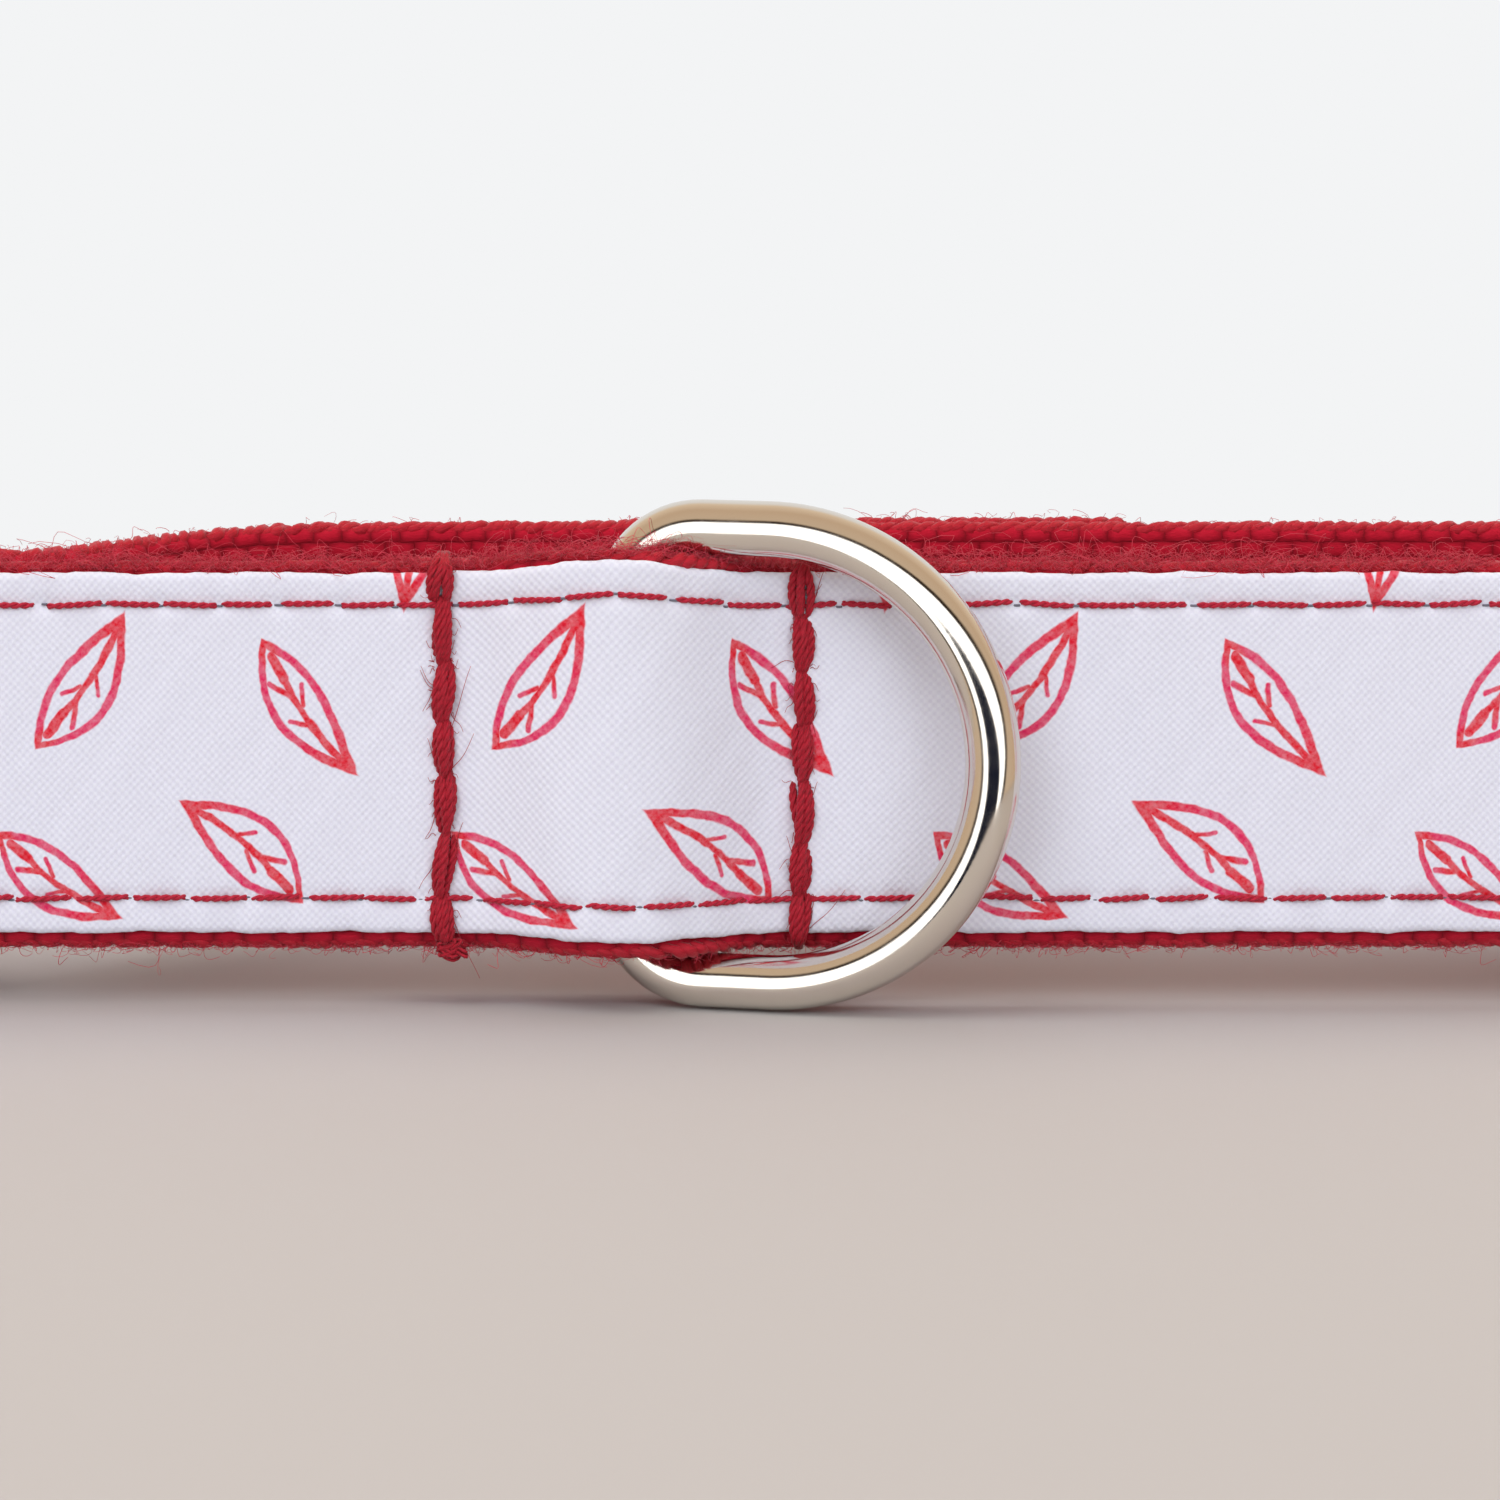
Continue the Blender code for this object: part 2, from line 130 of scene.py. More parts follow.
def arc(centre, radius, start, end, steps):
    turn = (end - start) / steps
    angles = [start + i * turn for i in range(steps + 1)]
    return [Vector((centre[0] + radius * math.cos(a), centre[1] + radius * math.sin(a))) for a in angles]


def smooth(points, samples=24):
    """A Catmull-Rom curve through the points."""
    points = [Vector(p) for p in points]
    ends = [2 * points[0] - points[1]] + points + [2 * points[-1] - points[-2]]
    curve = [points[0]]
    for a, b, c, d in zip(ends, ends[1:], ends[2:], ends[3:]):
        for i in range(1, samples + 1):
            t = i / samples
            square, cube = (2 * a - 5 * b + 4 * c - d) * t**2, (3 * b - a - 3 * c + d) * t**3
            curve.append(0.5 * (2 * b + (c - a) * t + square + cube))
    return curve


def run(start, end, count):
    """Even points from start to end, without the last."""
    return [tuple(p) for p in np.linspace(start, end, count)[:-1]]


def bend(centre, radius, start, end, steps):
    """The points of an arc, without the last."""
    return [tuple(p) for p in arc(centre, radius, start, end, steps)[:-1]]


def soft_step(x):
    """A smooth step from 0 to 1."""
    x = np.clip(x, 0, 1)
    return x * x * (3 - 2 * x)


def tunnel_line(from_x, to_x, samples=80):
    line = []
    for i in range(samples + 1):
        x = from_x + (to_x - from_x) * i / samples
        rise = 0.5 * (1 + math.cos(math.pi * x / TUNNEL_HALF)) if abs(x) < TUNNEL_HALF else 0
        line.append(Vector((x, FRONT_Y - TUNNEL_HEIGHT * rise)))
    return line


def front_line():
    flat = [Vector((TURN_X, FRONT_Y + FLAT_RECEDE)), Vector((FLAT_START_X, FRONT_Y))]
    to_fold = [Vector((FOLD_CENTRE[0], FOLD_CENTRE[1] - FOLD_RADIUS))]
    return flat + tunnel_line(TUNNEL_HALF + 0.6, -TUNNEL_HALF - 0.6) + to_fold


def back_line(from_x, to_x):
    fold_y = FOLD_CENTRE[1] + FOLD_RADIUS
    whole = smooth(
        [(FOLD_CENTRE[0], fold_y), (-44.5, 10.7), (-42.4, 8.5), (-39.6, 7.1), (-36.6, 8.1), (-33.8, 11.2)]
        + [(-30.2, 15.7), (-26.2, 19.8), (-20.5, 22.5), (-12, BACK_Y), (0, BACK_Y), (20, BACK_Y), (40, BACK_Y)]
        + [(TURN_X, BACK_Y)]
    )
    return [p for p in whole if from_x <= p.x <= to_x]


def control_loop_lines():
    """The webbing's line and the print's, both from the closure round the free turn, the front and the fold."""
    turn_radius = (BACK_Y - FRONT_Y - FLAT_RECEDE) / 2
    turn = arc((TURN_X, BACK_Y - turn_radius), turn_radius, math.pi / 2, -math.pi / 2, 60)
    fold = arc(FOLD_CENTRE, FOLD_RADIUS, -math.pi / 2, -1.5 * math.pi, 40)
    step = WEBBING_THICK + GAP
    jog = []
    for point in back_line(FOLD_CENTRE[0] + 0.1, CLOSURE_END_X):
        out = step * soft_step((point.x + 6) / (CLOSURE_START_X + 5))
        jog.append(Vector((point.x, point.y + out)))
    around = turn[1:-1] + front_line() + fold[1:] + jog
    return back_line(CLOSURE_START_X, TURN_X) + around, back_line(CLOSURE_END_X + 2, TURN_X) + around


def arm_point(bar, side, s, n):
    along = Vector((-math.cos(ARM_ANGLE), side * math.sin(ARM_ANGLE)))
    out = Vector((math.sin(ARM_ANGLE), side * math.cos(ARM_ANGLE)))
    return Vector(bar) + along * s + out * n


def ring_bars(side):
    fold_bar = Vector((FOLD_CENTRE[0], FOLD_CENTRE[1] + side * BAR_PITCH / 2))
    neck_bar = fold_bar + RING_REACH * Vector((-math.cos(RING_SPREAD), side * math.sin(RING_SPREAD)))
    return fold_bar, neck_bar


def wrap(bar, side):
    start = ARM_ANGLE + math.pi / 2 if side < 0 else math.pi / 2 - ARM_ANGLE
    return arc(bar, WRAP_RADIUS, start, start - math.pi, 30)


def neck_lines():
    """The neck webbing's line and the print's, which ends just past the rear wrap."""
    front_bar, rear_bar = ring_bars(-1)[1], ring_bars(1)[1]
    lap = WRAP_RADIUS - GAP
    tab = [(FRONT_TAB_LENGTH, lap), (20, lap), (13, lap), (8.5, 1.0), (4.0, -1.2), (0, -WRAP_RADIUS)]
    tab_line = smooth([arm_point(front_bar, -1, s, n) for s, n in tab])
    start = arm_point(front_bar, -1, ARM_LENGTH, WRAP_RADIUS)
    radius = (FOLD_CENTRE[1] - start.y) / math.cos(ARM_ANGLE)
    centre = (start.x - radius * math.sin(ARM_ANGLE), FOLD_CENTRE[1])
    round_neck = wrap(front_bar, -1)[1:]
    round_neck += arc(centre, radius, ARM_ANGLE - math.pi / 2, -1.5 * math.pi - ARM_ANGLE, 120)
    round_neck += wrap(rear_bar, 1)
    back = arm_point(rear_bar, 1, RETURN_LENGTH, -WRAP_RADIUS)
    return tab_line + round_neck + [back], tab_line[-1:] + round_neck


def slider_point(t, n):
    return arm_point(ring_bars(1)[1], 1, SLIDER_FROM_RING - t, WRAP_RADIUS + n)


def flap_line():
    ease = SLIDER_THICK / 2 + GAP
    bottom = SLIDER_BAR_DEPTH - ease
    turn_t = -SLIDER_BAR_HALF + GAP
    under = smooth(
        [(FLAP_TURN, -WEBBING_THICK - 2 * GAP), (6.5, -3.6), (3, bottom + 0.05), (0, bottom), (turn_t, bottom)]
    )
    local = under + arc((turn_t, SLIDER_BAR_DEPTH), ease, -math.pi / 2, -1.5 * math.pi, 20)[1:]
    local.append(Vector((FLAP_LENGTH, bottom + 2 * ease)))
    return [slider_point(t, n) for t, n in local]


def tangents(paths, closed=False):
    """Unit directions along paths of points (..., stations, axes)."""
    if closed:
        along = np.roll(paths, -1, axis=-2) - np.roll(paths, 1, axis=-2)
    else:
        along = np.gradient(paths, axis=-2)
    return along / np.maximum(np.linalg.norm(along, axis=-1), 1e-9)[..., None]


class Line:
    """Even stations along a plan line's face at an offset: places, left-hand normals and arc length."""

    def __init__(self, points, step, zero=None, face=0.0):
        self.face = face
        raw = np.array([(p[0], p[1]) for p in points], float)
        self.p = self.even(raw, step)
        self.p = self.soften(self.p, int(0.8 / step) + 1)
        if face:
            self.p = self.p + face * self.normals(self.p)
            self.p = self.soften(self.even(self.p, step), int(0.8 / step) + 1)
        self.p = self.even(self.p, step)
        self.n = self.normals(self.p)
        self.u = np.concatenate([[0], np.cumsum(np.linalg.norm(np.diff(self.p, axis=0), axis=1))])
        if zero is not None:
            nearest = int(np.argmin(np.linalg.norm(self.p - np.array(zero), axis=1)))
            self.u = self.u[nearest] - self.u
        self.order = np.argsort(self.u)

    @staticmethod
    def even(p, step):
        keep = np.concatenate([[True], np.linalg.norm(np.diff(p, axis=0), axis=1) > 1e-6])
        p = p[keep]
        run = np.concatenate([[0], np.cumsum(np.linalg.norm(np.diff(p, axis=0), axis=1))])
        u = np.linspace(0, run[-1], max(2, int(round(run[-1] / step)) + 1))
        return np.stack([np.interp(u, run, p[:, k]) for k in (0, 1)], axis=1)

    @staticmethod
    def soften(p, times):
        for _ in range(times):
            p[1:-1] = 0.25 * p[:-2] + 0.5 * p[1:-1] + 0.25 * p[2:]
        return p

    @staticmethod
    def normals(p):
        along = tangents(p)
        return np.stack([-along[:, 1], along[:, 0]], axis=1)

    def at(self, u, offset, height):
        """Points at arc length u, an offset to the left of the inner face and a height from the middle."""
        values = self.u[self.order]
        p, n = (
            np.stack([np.interp(u, values, field[self.order, k]) for k in (0, 1)], axis=-1)
            for field in (self.p, self.n)
        )
        p = p + n * (np.asarray(offset) - self.face)[..., None]
        z = np.broadcast_to(np.asarray(height, float), p.shape[:-1])
        return np.concatenate([p, z[..., None]], axis=-1)

    def share(self, u, values):
        """Values given at the stations, read at arc length u; zero where there are none."""
        if values is None:
            return 0 * u
        return np.interp(u, self.u[self.order], values[self.order])


def to_world(points):
    """Plan millimetres to the frame's metres."""
    return (np.asarray(points, float) + np.array([PLAN_X, PLAN_Y, STRAP_Z])) * MM


# -------- noise


def wobble(x, seed, scale=1.0):
    """Smooth noise in one dimension, about -1 to 1."""
    rng = np.random.default_rng(seed)
    x = np.asarray(x, float) / scale
    total = np.zeros_like(x)
    for k in range(4):
        freq = 2 * math.pi * (0.55 + 0.5 * k + 0.3 * rng.random())
        total += np.sin(freq * x + rng.random() * 6.28) / (1 + 0.6 * k)
    return total / 2.2


# -------- mesh building


def new_object(name, data):
    obj = bpy.data.objects.new(name, data)
    bpy.context.scene.collection.objects.link(obj)
    return obj


class Shape:
    """Collects vertices, faces and a UV in millimetres, and becomes one object."""

    def __init__(self):
        self.verts, self.faces, self.uvs, self.count = [], [], [], 0

    def add(self, points, uv, faces):
        self.verts.append(points.reshape(-1, 3))
        self.uvs.append(uv.reshape(-1, 2))
        self.faces.append(faces.reshape(-1, 4))
        self.count += len(self.verts[-1])

    @staticmethod
    def cap(ring):
        """Faces over an end ring, (..., around), as quads; a repeated last corner makes a triangle."""
        last = ring.shape[-1] - 1
        return np.stack(
            [np.stack([ring[..., 0], ring[..., k], ring[..., k + 1], ring[..., min(k + 2, last)]], axis=-1)
             for k in range(1, last, 2)], axis=-2
        )

    def grid(self, points, uv, closed_along=False):
        """A skin closed around, with points (stations, around, 3) and uv (stations, around, 2)."""
        self.skins(points[None], uv[None], closed_along)

    def skins(self, points, uv, closed_along=False):
        """Many skins at once: points (skins, stations, around, 3) and uv (skins, stations, around, 2)."""
        many, rows, cols = points.shape[:3]
        index = self.count + np.arange(many * rows * cols).reshape(many, rows, cols)
        below = np.roll(index, -1, axis=1) if closed_along else index[:, 1:]
        above = index if closed_along else index[:, :-1]
        sides = np.stack([above, np.roll(above, -1, axis=2), np.roll(below, -1, axis=2), below], axis=-1)
        faces = [sides.reshape(-1, 4)]
        if not closed_along:
            faces += [self.cap(index[:, 0, ::-1]).reshape(-1, 4), self.cap(index[:, -1]).reshape(-1, 4)]
        self.add(points, uv, np.concatenate(faces))

    def tubes(self, paths, radii, sides=6, closed=False, up=(0, 0, 1)):
        """Round tubes along paths (tubes, stations, 3); up is a direction they never run along."""
        paths = np.asarray(paths, float)
        along = tangents(paths, closed)
        side = np.cross(along, np.array(up, float))
        side /= np.maximum(np.linalg.norm(side, axis=2), 1e-9)[..., None]
        other = np.cross(side, along)
        angle = np.linspace(0, 2 * math.pi, sides, endpoint=False)
        ring = np.cos(angle)[:, None] * side[:, :, None] + np.sin(angle)[:, None] * other[:, :, None]
        radii = np.broadcast_to(np.asarray(radii, float), paths.shape[:2])
        points = paths[:, :, None] + ring * radii[..., None, None]
        steps = np.linalg.norm(np.diff(paths, axis=1), axis=2)
        run = np.concatenate([np.zeros((len(paths), 1)), np.cumsum(steps, axis=1)], axis=1)
        uv = np.stack(np.broadcast_arrays(run[..., None], (angle * radii.mean())[None, None]), axis=-1)
        self.skins(points, uv, closed)

    def build(self, name, material, body, replaced=None):
        """Makes the object, of one material, fixed to a body."""
        verts = to_world(np.concatenate(self.verts))
        quads = np.concatenate(self.faces)
        kept = np.ones(quads.shape, bool)
        kept[:, 3] = quads[:, 3] != quads[:, 2]
        corners = quads[kept]
        starts = np.concatenate([[0], np.cumsum(kept.sum(axis=1))[:-1]])
        mesh = bpy.data.meshes.new(name)
        mesh.vertices.add(len(verts))
        mesh.vertices.foreach_set("co", verts.astype(np.float32).ravel())
        mesh.loops.add(len(corners))
        mesh.loops.foreach_set("vertex_index", corners.astype(np.int32))
        mesh.polygons.add(len(quads))
        mesh.polygons.foreach_set("loop_start", starts.astype(np.int32))
        mesh.polygons.foreach_set("use_smooth", np.ones(len(quads), bool))
        layer = mesh.uv_layers.new(name="strap_mm")
        layer.data.foreach_set("uv", np.concatenate(self.uvs)[corners].astype(np.float32).ravel())
        mesh.materials.append(MATERIALS[material])
        mesh.update(calc_edges=True)
        mesh.validate()
        obj = new_object(name, mesh)
        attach(obj, body)
        if replaced:
            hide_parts(replaced)


# -------- materials


class Nodes:
    """Short calls for building a node tree."""

    def __init__(self, tree):
        self.tree = tree

    def add(self, kind, *inputs, **values):
        """A new node with the values, and its first inputs set or linked in order."""
        node = self.tree.nodes.new(kind)
        for key, value in values.items():
            setattr(node, key, value)
        for socket, value in zip(node.inputs, inputs):
            self.put(socket, value)
        return node

    def link(self, source, target):
        self.tree.links.new(source, target)

    def put(self, socket, value):
        if hasattr(value, "is_output"):
            self.tree.links.new(value, socket)
        else:
            socket.default_value = value

    def math(self, operation, a, b=0.0, c=0.0, clamp=False):
        return self.add("ShaderNodeMath", a, b, c, operation=operation, use_clamp=clamp).outputs[0]

    def vector(self, operation, a, b=(0, 0, 0), scale=None):
        node = self.add("ShaderNodeVectorMath", a, b, operation=operation)
        if scale is not None:
            self.put(node.inputs["Scale"], scale)
        return node.outputs["Value"] if operation in ("DOT_PRODUCT", "LENGTH", "DISTANCE") else node.outputs[0]

    def combine(self, x, y, z=0.0):
        return self.add("ShaderNodeCombineXYZ", x, y, z).outputs[0]

    def separate(self, value):
        return self.add("ShaderNodeSeparateXYZ", value).outputs

    def uv(self):
        return self.add("ShaderNodeUVMap", uv_map="strap_mm").outputs[0]

    def noise(self, at, scale, detail=2.0, rough=0.5, output="Fac"):
        node = self.add("ShaderNodeTexNoise", at)
        for name, value in (("Scale", scale), ("Detail", detail), ("Roughness", rough)):
            node.inputs[name].default_value = value
        return node.outputs[output]

    def remap(self, value, low, high, to_low=0.0, to_high=1.0, smooth_step=False):
        kind = "SMOOTHSTEP" if smooth_step else "LINEAR"
        node = self.add("ShaderNodeMapRange", value, low, high, to_low, to_high, interpolation_type=kind)
        return node.outputs[0]

    def mix(self, share, a, b):
        node = self.add("ShaderNodeMix", share, data_type="RGBA")
        self.put(node.inputs[6], a)
        self.put(node.inputs[7], b)
        return node.outputs[2]

    def bump(self, height, strength, distance):
        node = self.add("ShaderNodeBump")
        self.put(node.inputs["Height"], height)
        node.inputs["Strength"].default_value = strength
        node.inputs["Distance"].default_value = distance
        return node.outputs[0]


def new_material(name):
    material = bpy.data.materials.new(name)
    material.use_nodes = True
    return material, Nodes(material.node_tree), material.node_tree.nodes["Principled BSDF"]


def srgb(r, g, b):
    """A linear colour from 0-255 sRGB values."""
    linear = [v / 255 / 12.92 if v <= 10 else ((v / 255 + 0.055) / 1.055) ** 2.4 for v in (r, g, b)]
    return (*linear, 1.0)


def node_group(name, inputs, outputs):
    """A node group with named sockets: the group, its node calls, what it is given and what it gives."""
    group = bpy.data.node_groups.new(name, "ShaderNodeTree")
    for way, sockets in (("INPUT", inputs), ("OUTPUT", outputs)):
        for socket, kind in sockets.items():
            group.interface.new_socket(socket, in_out=way, socket_type="NodeSocket" + kind)
    n = Nodes(group)
    return group, n, n.add("NodeGroupInput").outputs, n.add("NodeGroupOutput").inputs


def segment_group():
    """A node group: the distance from a point to a segment."""
    ends = {"Point": "Vector", "A": "Vector", "B": "Vector"}
    group, n, given, result = node_group("segment_distance", ends, {"Distance": "Float"})
    run = n.vector("SUBTRACT", given[2], given[1])
    away = n.vector("SUBTRACT", given[0], given[1])
    share = n.math("DIVIDE", n.vector("DOT_PRODUCT", away, run), n.vector("DOT_PRODUCT", run, run), clamp=True)
    nearest = n.vector("SCALE", run, scale=share)
    n.link(n.vector("DISTANCE", away, nearest), result[0])
    return group


LEAF_LENGTH = 10.0
LEAF_SLACK = 0.55  # how far the rib bows to one side
LEAF_VEINS = (  # start and end in leaf millimetres, along the rib and across it, and the stroke's half width
    ((-4.0, 0.12), (-2.3, 0.2), 0.33),
    ((-2.3, 0.2), (-1.2, 0.05), 0.24),
    ((-1.2, 0.05), (0.9, 0.0), 0.21),
    ((0.9, 0.0), (4.8, 0.0), 0.25),
    ((1.2, 0.0), (0.1, -1.0), 0.14),
    ((-0.15, 0.3), (-1.3, 1.0), 0.15),
    ((-1.2, 0.0), (-2.65, -0.9), 0.18),
)


def leaf_group(segment):
    """A node group: the ink of one hand-drawn leaf at leaf coordinates, and the ink's redness."""
    needs, gives = {"Point": "Vector", "Width": "Float"}, {"Ink": "Float", "Red": "Float"}
    group, n, given, result = node_group("leaf", needs, gives)
    x, chord_y, _ = n.separate(given[0])
    bow = n.math("MULTIPLY_ADD", n.math("MULTIPLY", x, x), -LEAF_SLACK / 27.0, LEAF_SLACK)
    y = n.math("ADD", chord_y, bow)
    point = n.combine(x, y)
    s = n.math("MINIMUM", n.math("MAXIMUM", n.math("DIVIDE", x, LEAF_LENGTH / 2), -1.4), 1.4)
    fall = n.math("SUBTRACT", 1.0, n.math("MULTIPLY", s, s))
    taper = n.math("MULTIPLY_ADD", s, -0.22, 1.0)
    half_width = n.math("MULTIPLY", n.math("MULTIPLY", fall, taper), n.math("MULTIPLY", given[1], 0.5))
    slope = n.math("SQRT", n.math("MULTIPLY_ADD", n.math("MULTIPLY", s, s), 0.5, 1.0))
    inside = n.math("DIVIDE", n.math("SUBTRACT", half_width, n.math("ABSOLUTE", y)), slope)
    stroke = n.remap(x, -5.2, 5.2, 0.24, 0.29)
    ink = n.math("SUBTRACT", n.math("ABSOLUTE", inside), stroke)
    for start, end, width in LEAF_VEINS:
        node = n.add("ShaderNodeGroup", node_tree=segment)
        n.link(point, node.inputs[0])
        node.inputs[1].default_value = (*start, 0)
        node.inputs[2].default_value = (*end, 0)
        ink = n.math("MINIMUM", ink, n.math("SUBTRACT", node.outputs[0], width))
    tip = n.math("MAXIMUM", n.math("SUBTRACT", 4.3, x), n.math("MULTIPLY", inside, -1.0))
    ink = n.math("SMOOTH_MIN", ink, tip, 0.45)
    n.link(n.remap(ink, 0.09, -0.06, smooth_step=True), result[0])
    rib = n.math("ABSOLUTE", y)
    red = n.math("MAXIMUM", n.remap(x, 0.5, 4.2), n.remap(rib, 0.9, 0.45))
    n.link(red, result[1])
    return group


# Each leaf: its solid tip's place along the repeat and up, the other tip's offset from it, and the width
LEAVES = (
    ((-2.25, 8.7), (-6.05, -8.3), 3.7),
    ((13.38, -1.1), (-6.1, 8.35), 3.35),
    ((1.8, -3.15), (8.05, -6.35), 3.95),
    ((-2.95, -10.45), (-8.1, 5.35), 3.65),
    ((17.0, 9.5), (3.2, 9.3), 3.6),
)


def leaf_print(n, uv, warp):
    """Ink and redness of the repeated leaf print at a UV in millimetres."""
    segment = segment_group()
    leaf = leaf_group(segment)
    at = n.vector("ADD", uv, n.vector("SCALE", n.vector("SUBTRACT", warp, (0.5, 0.5, 0.5)), scale=0.34))
    u, v, _ = n.separate(at)
    ink, red = 0.0, 0.0
    for (tip_u, tip_v), (run_u, run_v), width in LEAVES:
        middle_u = tip_u + run_u / 2
        middle_v = tip_v + run_v / 2
        angle = math.atan2(-run_v, -run_u)
        near = n.math("SUBTRACT", u, middle_u - PRINT_REPEAT / 2)
        near = n.math("SUBTRACT", n.math("FLOORED_MODULO", near, PRINT_REPEAT), PRINT_REPEAT / 2)
        up = n.math("SUBTRACT", v, middle_v)
        c, s = math.cos(angle), math.sin(angle)
        x = n.math("ADD", n.math("MULTIPLY", near, c), n.math("MULTIPLY", up, s))
        y = n.math("SUBTRACT", n.math("MULTIPLY", up, c), n.math("MULTIPLY", near, s))
        fit = (LEAF_LENGTH + 0.45) / math.hypot(run_u, run_v)
        node = n.add("ShaderNodeGroup", node_tree=leaf)
        n.link(n.vector("SCALE", n.combine(x, y), scale=fit), node.inputs[0])
        node.inputs[1].default_value = width
        ink = n.math("MAXIMUM", ink, node.outputs[0])
        red = n.math("MAXIMUM", red, n.math("MULTIPLY", node.outputs[0], node.outputs[1]))
    return ink, red


def weave_height(n, uv, pitch):
    """A plain weave: threads over and under, as a height from 0 to 1."""
    u, v, _ = n.separate(uv)
    a = n.math("SINE", n.math("MULTIPLY", u, math.pi / pitch))
    b = n.math("SINE", n.math("MULTIPLY", v, math.pi / pitch))
    return n.math("MULTIPLY_ADD", n.math("MULTIPLY", a, b), 0.5, 0.5)


def finish_cloth(shader, rough, specular, sheen, sheen_rough):
    names = ("Roughness", "Specular IOR Level", "Sheen Weight", "Sheen Roughness")
    for name, value in zip(names, (rough, specular, sheen, sheen_rough)):
        shader.inputs[name].default_value = value


def print_material():
    material, n, shader = new_material("printed_cotton")
    uv = n.uv()
    fuzz = n.noise(uv, 2.2, output="Color")
    ink, red = leaf_print(n, uv, n.noise(uv, 0.9, 3.0, output="Color"))
    patch = n.noise(uv, 1.6, 3.0, 0.7)
    weave = weave_height(n, uv, WEAVE_PITCH)
    grain = n.noise(uv, 3.5, 2.0, 0.6)
    # Lighter on the weave's raised threads and darker in its hollows: painted shade in the weave's hollows
    white = n.mix(n.remap(weave, 0.25, 0.75), srgb(222, 224, 243), srgb(238, 242, 255))
    white = n.mix(n.remap(grain, 0.35, 0.65, 0.2, 0.8), white, srgb(232, 235, 251))
    dye = n.mix(red, srgb(224, 40, 96), srgb(222, 20, 42))
    dye = n.mix(n.remap(weave, 0.15, 0.85, 0.14, 0.0), dye, srgb(250, 150, 172))
    spread = n.math("MULTIPLY", ink, n.remap(patch, 0.25, 0.6, 0.78, 1.0))
    n.link(n.mix(spread, white, dye), shader.inputs["Base Color"])
    finish_cloth(shader, 0.85, 0.25, 0.15, 0.4)
    relief = n.math("ADD", weave, n.math("MULTIPLY", n.separate(fuzz)[0], 0.6))
    n.link(n.bump(relief, 0.45, 0.00008), shader.inputs["Normal"])
    return material


def webbing_material():
    """Crimson webbing: lengthwise yarns in staggered rows, with fibres, and painted shade in the gaps between
    the yarns.
    """
    material, n, shader = new_material("red_webbing")
    uv = n.uv()
    drift = n.vector("SCALE", n.noise(uv, 1.2, output="Color"), scale=0.25)
    u, v, _ = n.separate(n.vector("ADD", uv, drift))
    column = n.math("FLOOR", n.math("DIVIDE", v, YARN_HEIGHT))
    across = n.math("ABSOLUTE", n.math("SINE", n.math("MULTIPLY", v, math.pi / YARN_HEIGHT)))
    phase = n.math("MULTIPLY_ADD", column, 0.5, n.math("DIVIDE", u, YARN_LENGTH))
    along = n.math("ABSOLUTE", n.math("SINE", n.math("MULTIPLY", phase, math.pi)))
    yarn = n.math("MULTIPLY", n.math("POWER", across, 0.5), n.math("POWER", along, 0.6))
    hair = n.noise(n.vector("MULTIPLY", uv, (1.0, 4.0, 1.0)), 2.6, 4.0, 0.7)
    patch = n.noise(uv, 0.35, 3.0, 0.6)
    dark = n.mix(patch, srgb(128, 6, 26), srgb(150, 12, 34))
    light = n.mix(hair, srgb(178, 14, 40), srgb(206, 30, 58))
    # Darker in the gaps between the yarns and lighter on their crowns: painted shade in the gaps; the tone
    # within each also varies at random
    n.link(n.mix(n.remap(yarn, 0.1, 0.8), dark, light), shader.inputs["Base Color"])
    finish_cloth(shader, 0.9, 0.2, 0.5, 0.45)
    shader.inputs["Sheen Tint"].default_value = srgb(240, 90, 110)
    relief = n.math("ADD", yarn, n.math("MULTIPLY", hair, 0.45))
    n.link(n.bump(relief, 0.8, 0.0003), shader.inputs["Normal"])
    return material


def thread_material(name, dark, light, scale):
    material, n, shader = new_material(name)
    uv = n.uv()
    fibre = n.noise(n.vector("MULTIPLY", uv, (1.0, 5.0, 1.0)), scale, 3.0, 0.7)
    n.link(n.mix(n.remap(fibre, 0.3, 0.7), dark, light), shader.inputs["Base Color"])
    finish_cloth(shader, 0.6, 0.35, 0.15, 0.4)
    n.link(n.bump(fibre, 0.6, 0.00006), shader.inputs["Normal"])
    return material


def nickel_material():
    material, n, shader = new_material("nickel_plate")
    place = n.add("ShaderNodeTexCoord").outputs["Object"]
    fine = n.noise(place, 2400.0, 2.0, 0.6)
    broad = n.noise(place, 260.0, 3.0, 0.6)
    shader.inputs["Base Color"].default_value = srgb(222, 214, 203)
    shader.inputs["Metallic"].default_value = 1.0
    n.link(n.remap(broad, 0.3, 0.75, 0.07, 0.17), shader.inputs["Roughness"])
    dents = n.math("ADD", n.math("MULTIPLY", fine, 0.12), broad)
    lean = n.vector("ADD", n.bump(dents, 0.18, 0.00006), (0, 0, NICKEL_LEAN))
    n.link(n.vector("NORMALIZE", lean), shader.inputs["Normal"])
    return material


# -------- straps


def tunnel_share(line):
    """1 over the D-ring's bar and 0 past the rows that hold it, at the line's stations."""
    return soft_step(1 - np.abs(line.u + 0.5) / (ROW_X + 0.4))


def lift_of(v, share):
    """How far the strap's upper half is stretched up between the rows that hold the ring."""
    return TUNNEL_STRETCH * np.clip((v + 3) / 14.5, 0, 1) ** 1.5 * share


def webbing_outline(half_width, thick):
    """A flattened oval outline of the webbing, as (offset, height) pairs."""
    outline = []
    edge = 0.75
    for side in (1, -1):
        for t in np.linspace(-1, 1, 15) * side:
            outline.append((thick if side > 0 else 0.0, t * (half_width - edge)))
        for k in range(1, 6):
            angle = math.pi / 2 - k * math.pi / 6
            rise = half_width - edge + edge * math.cos(angle)
            outline.append((thick / 2 * (1 + math.sin(angle) * side), side * rise))
    return np.array(outline)


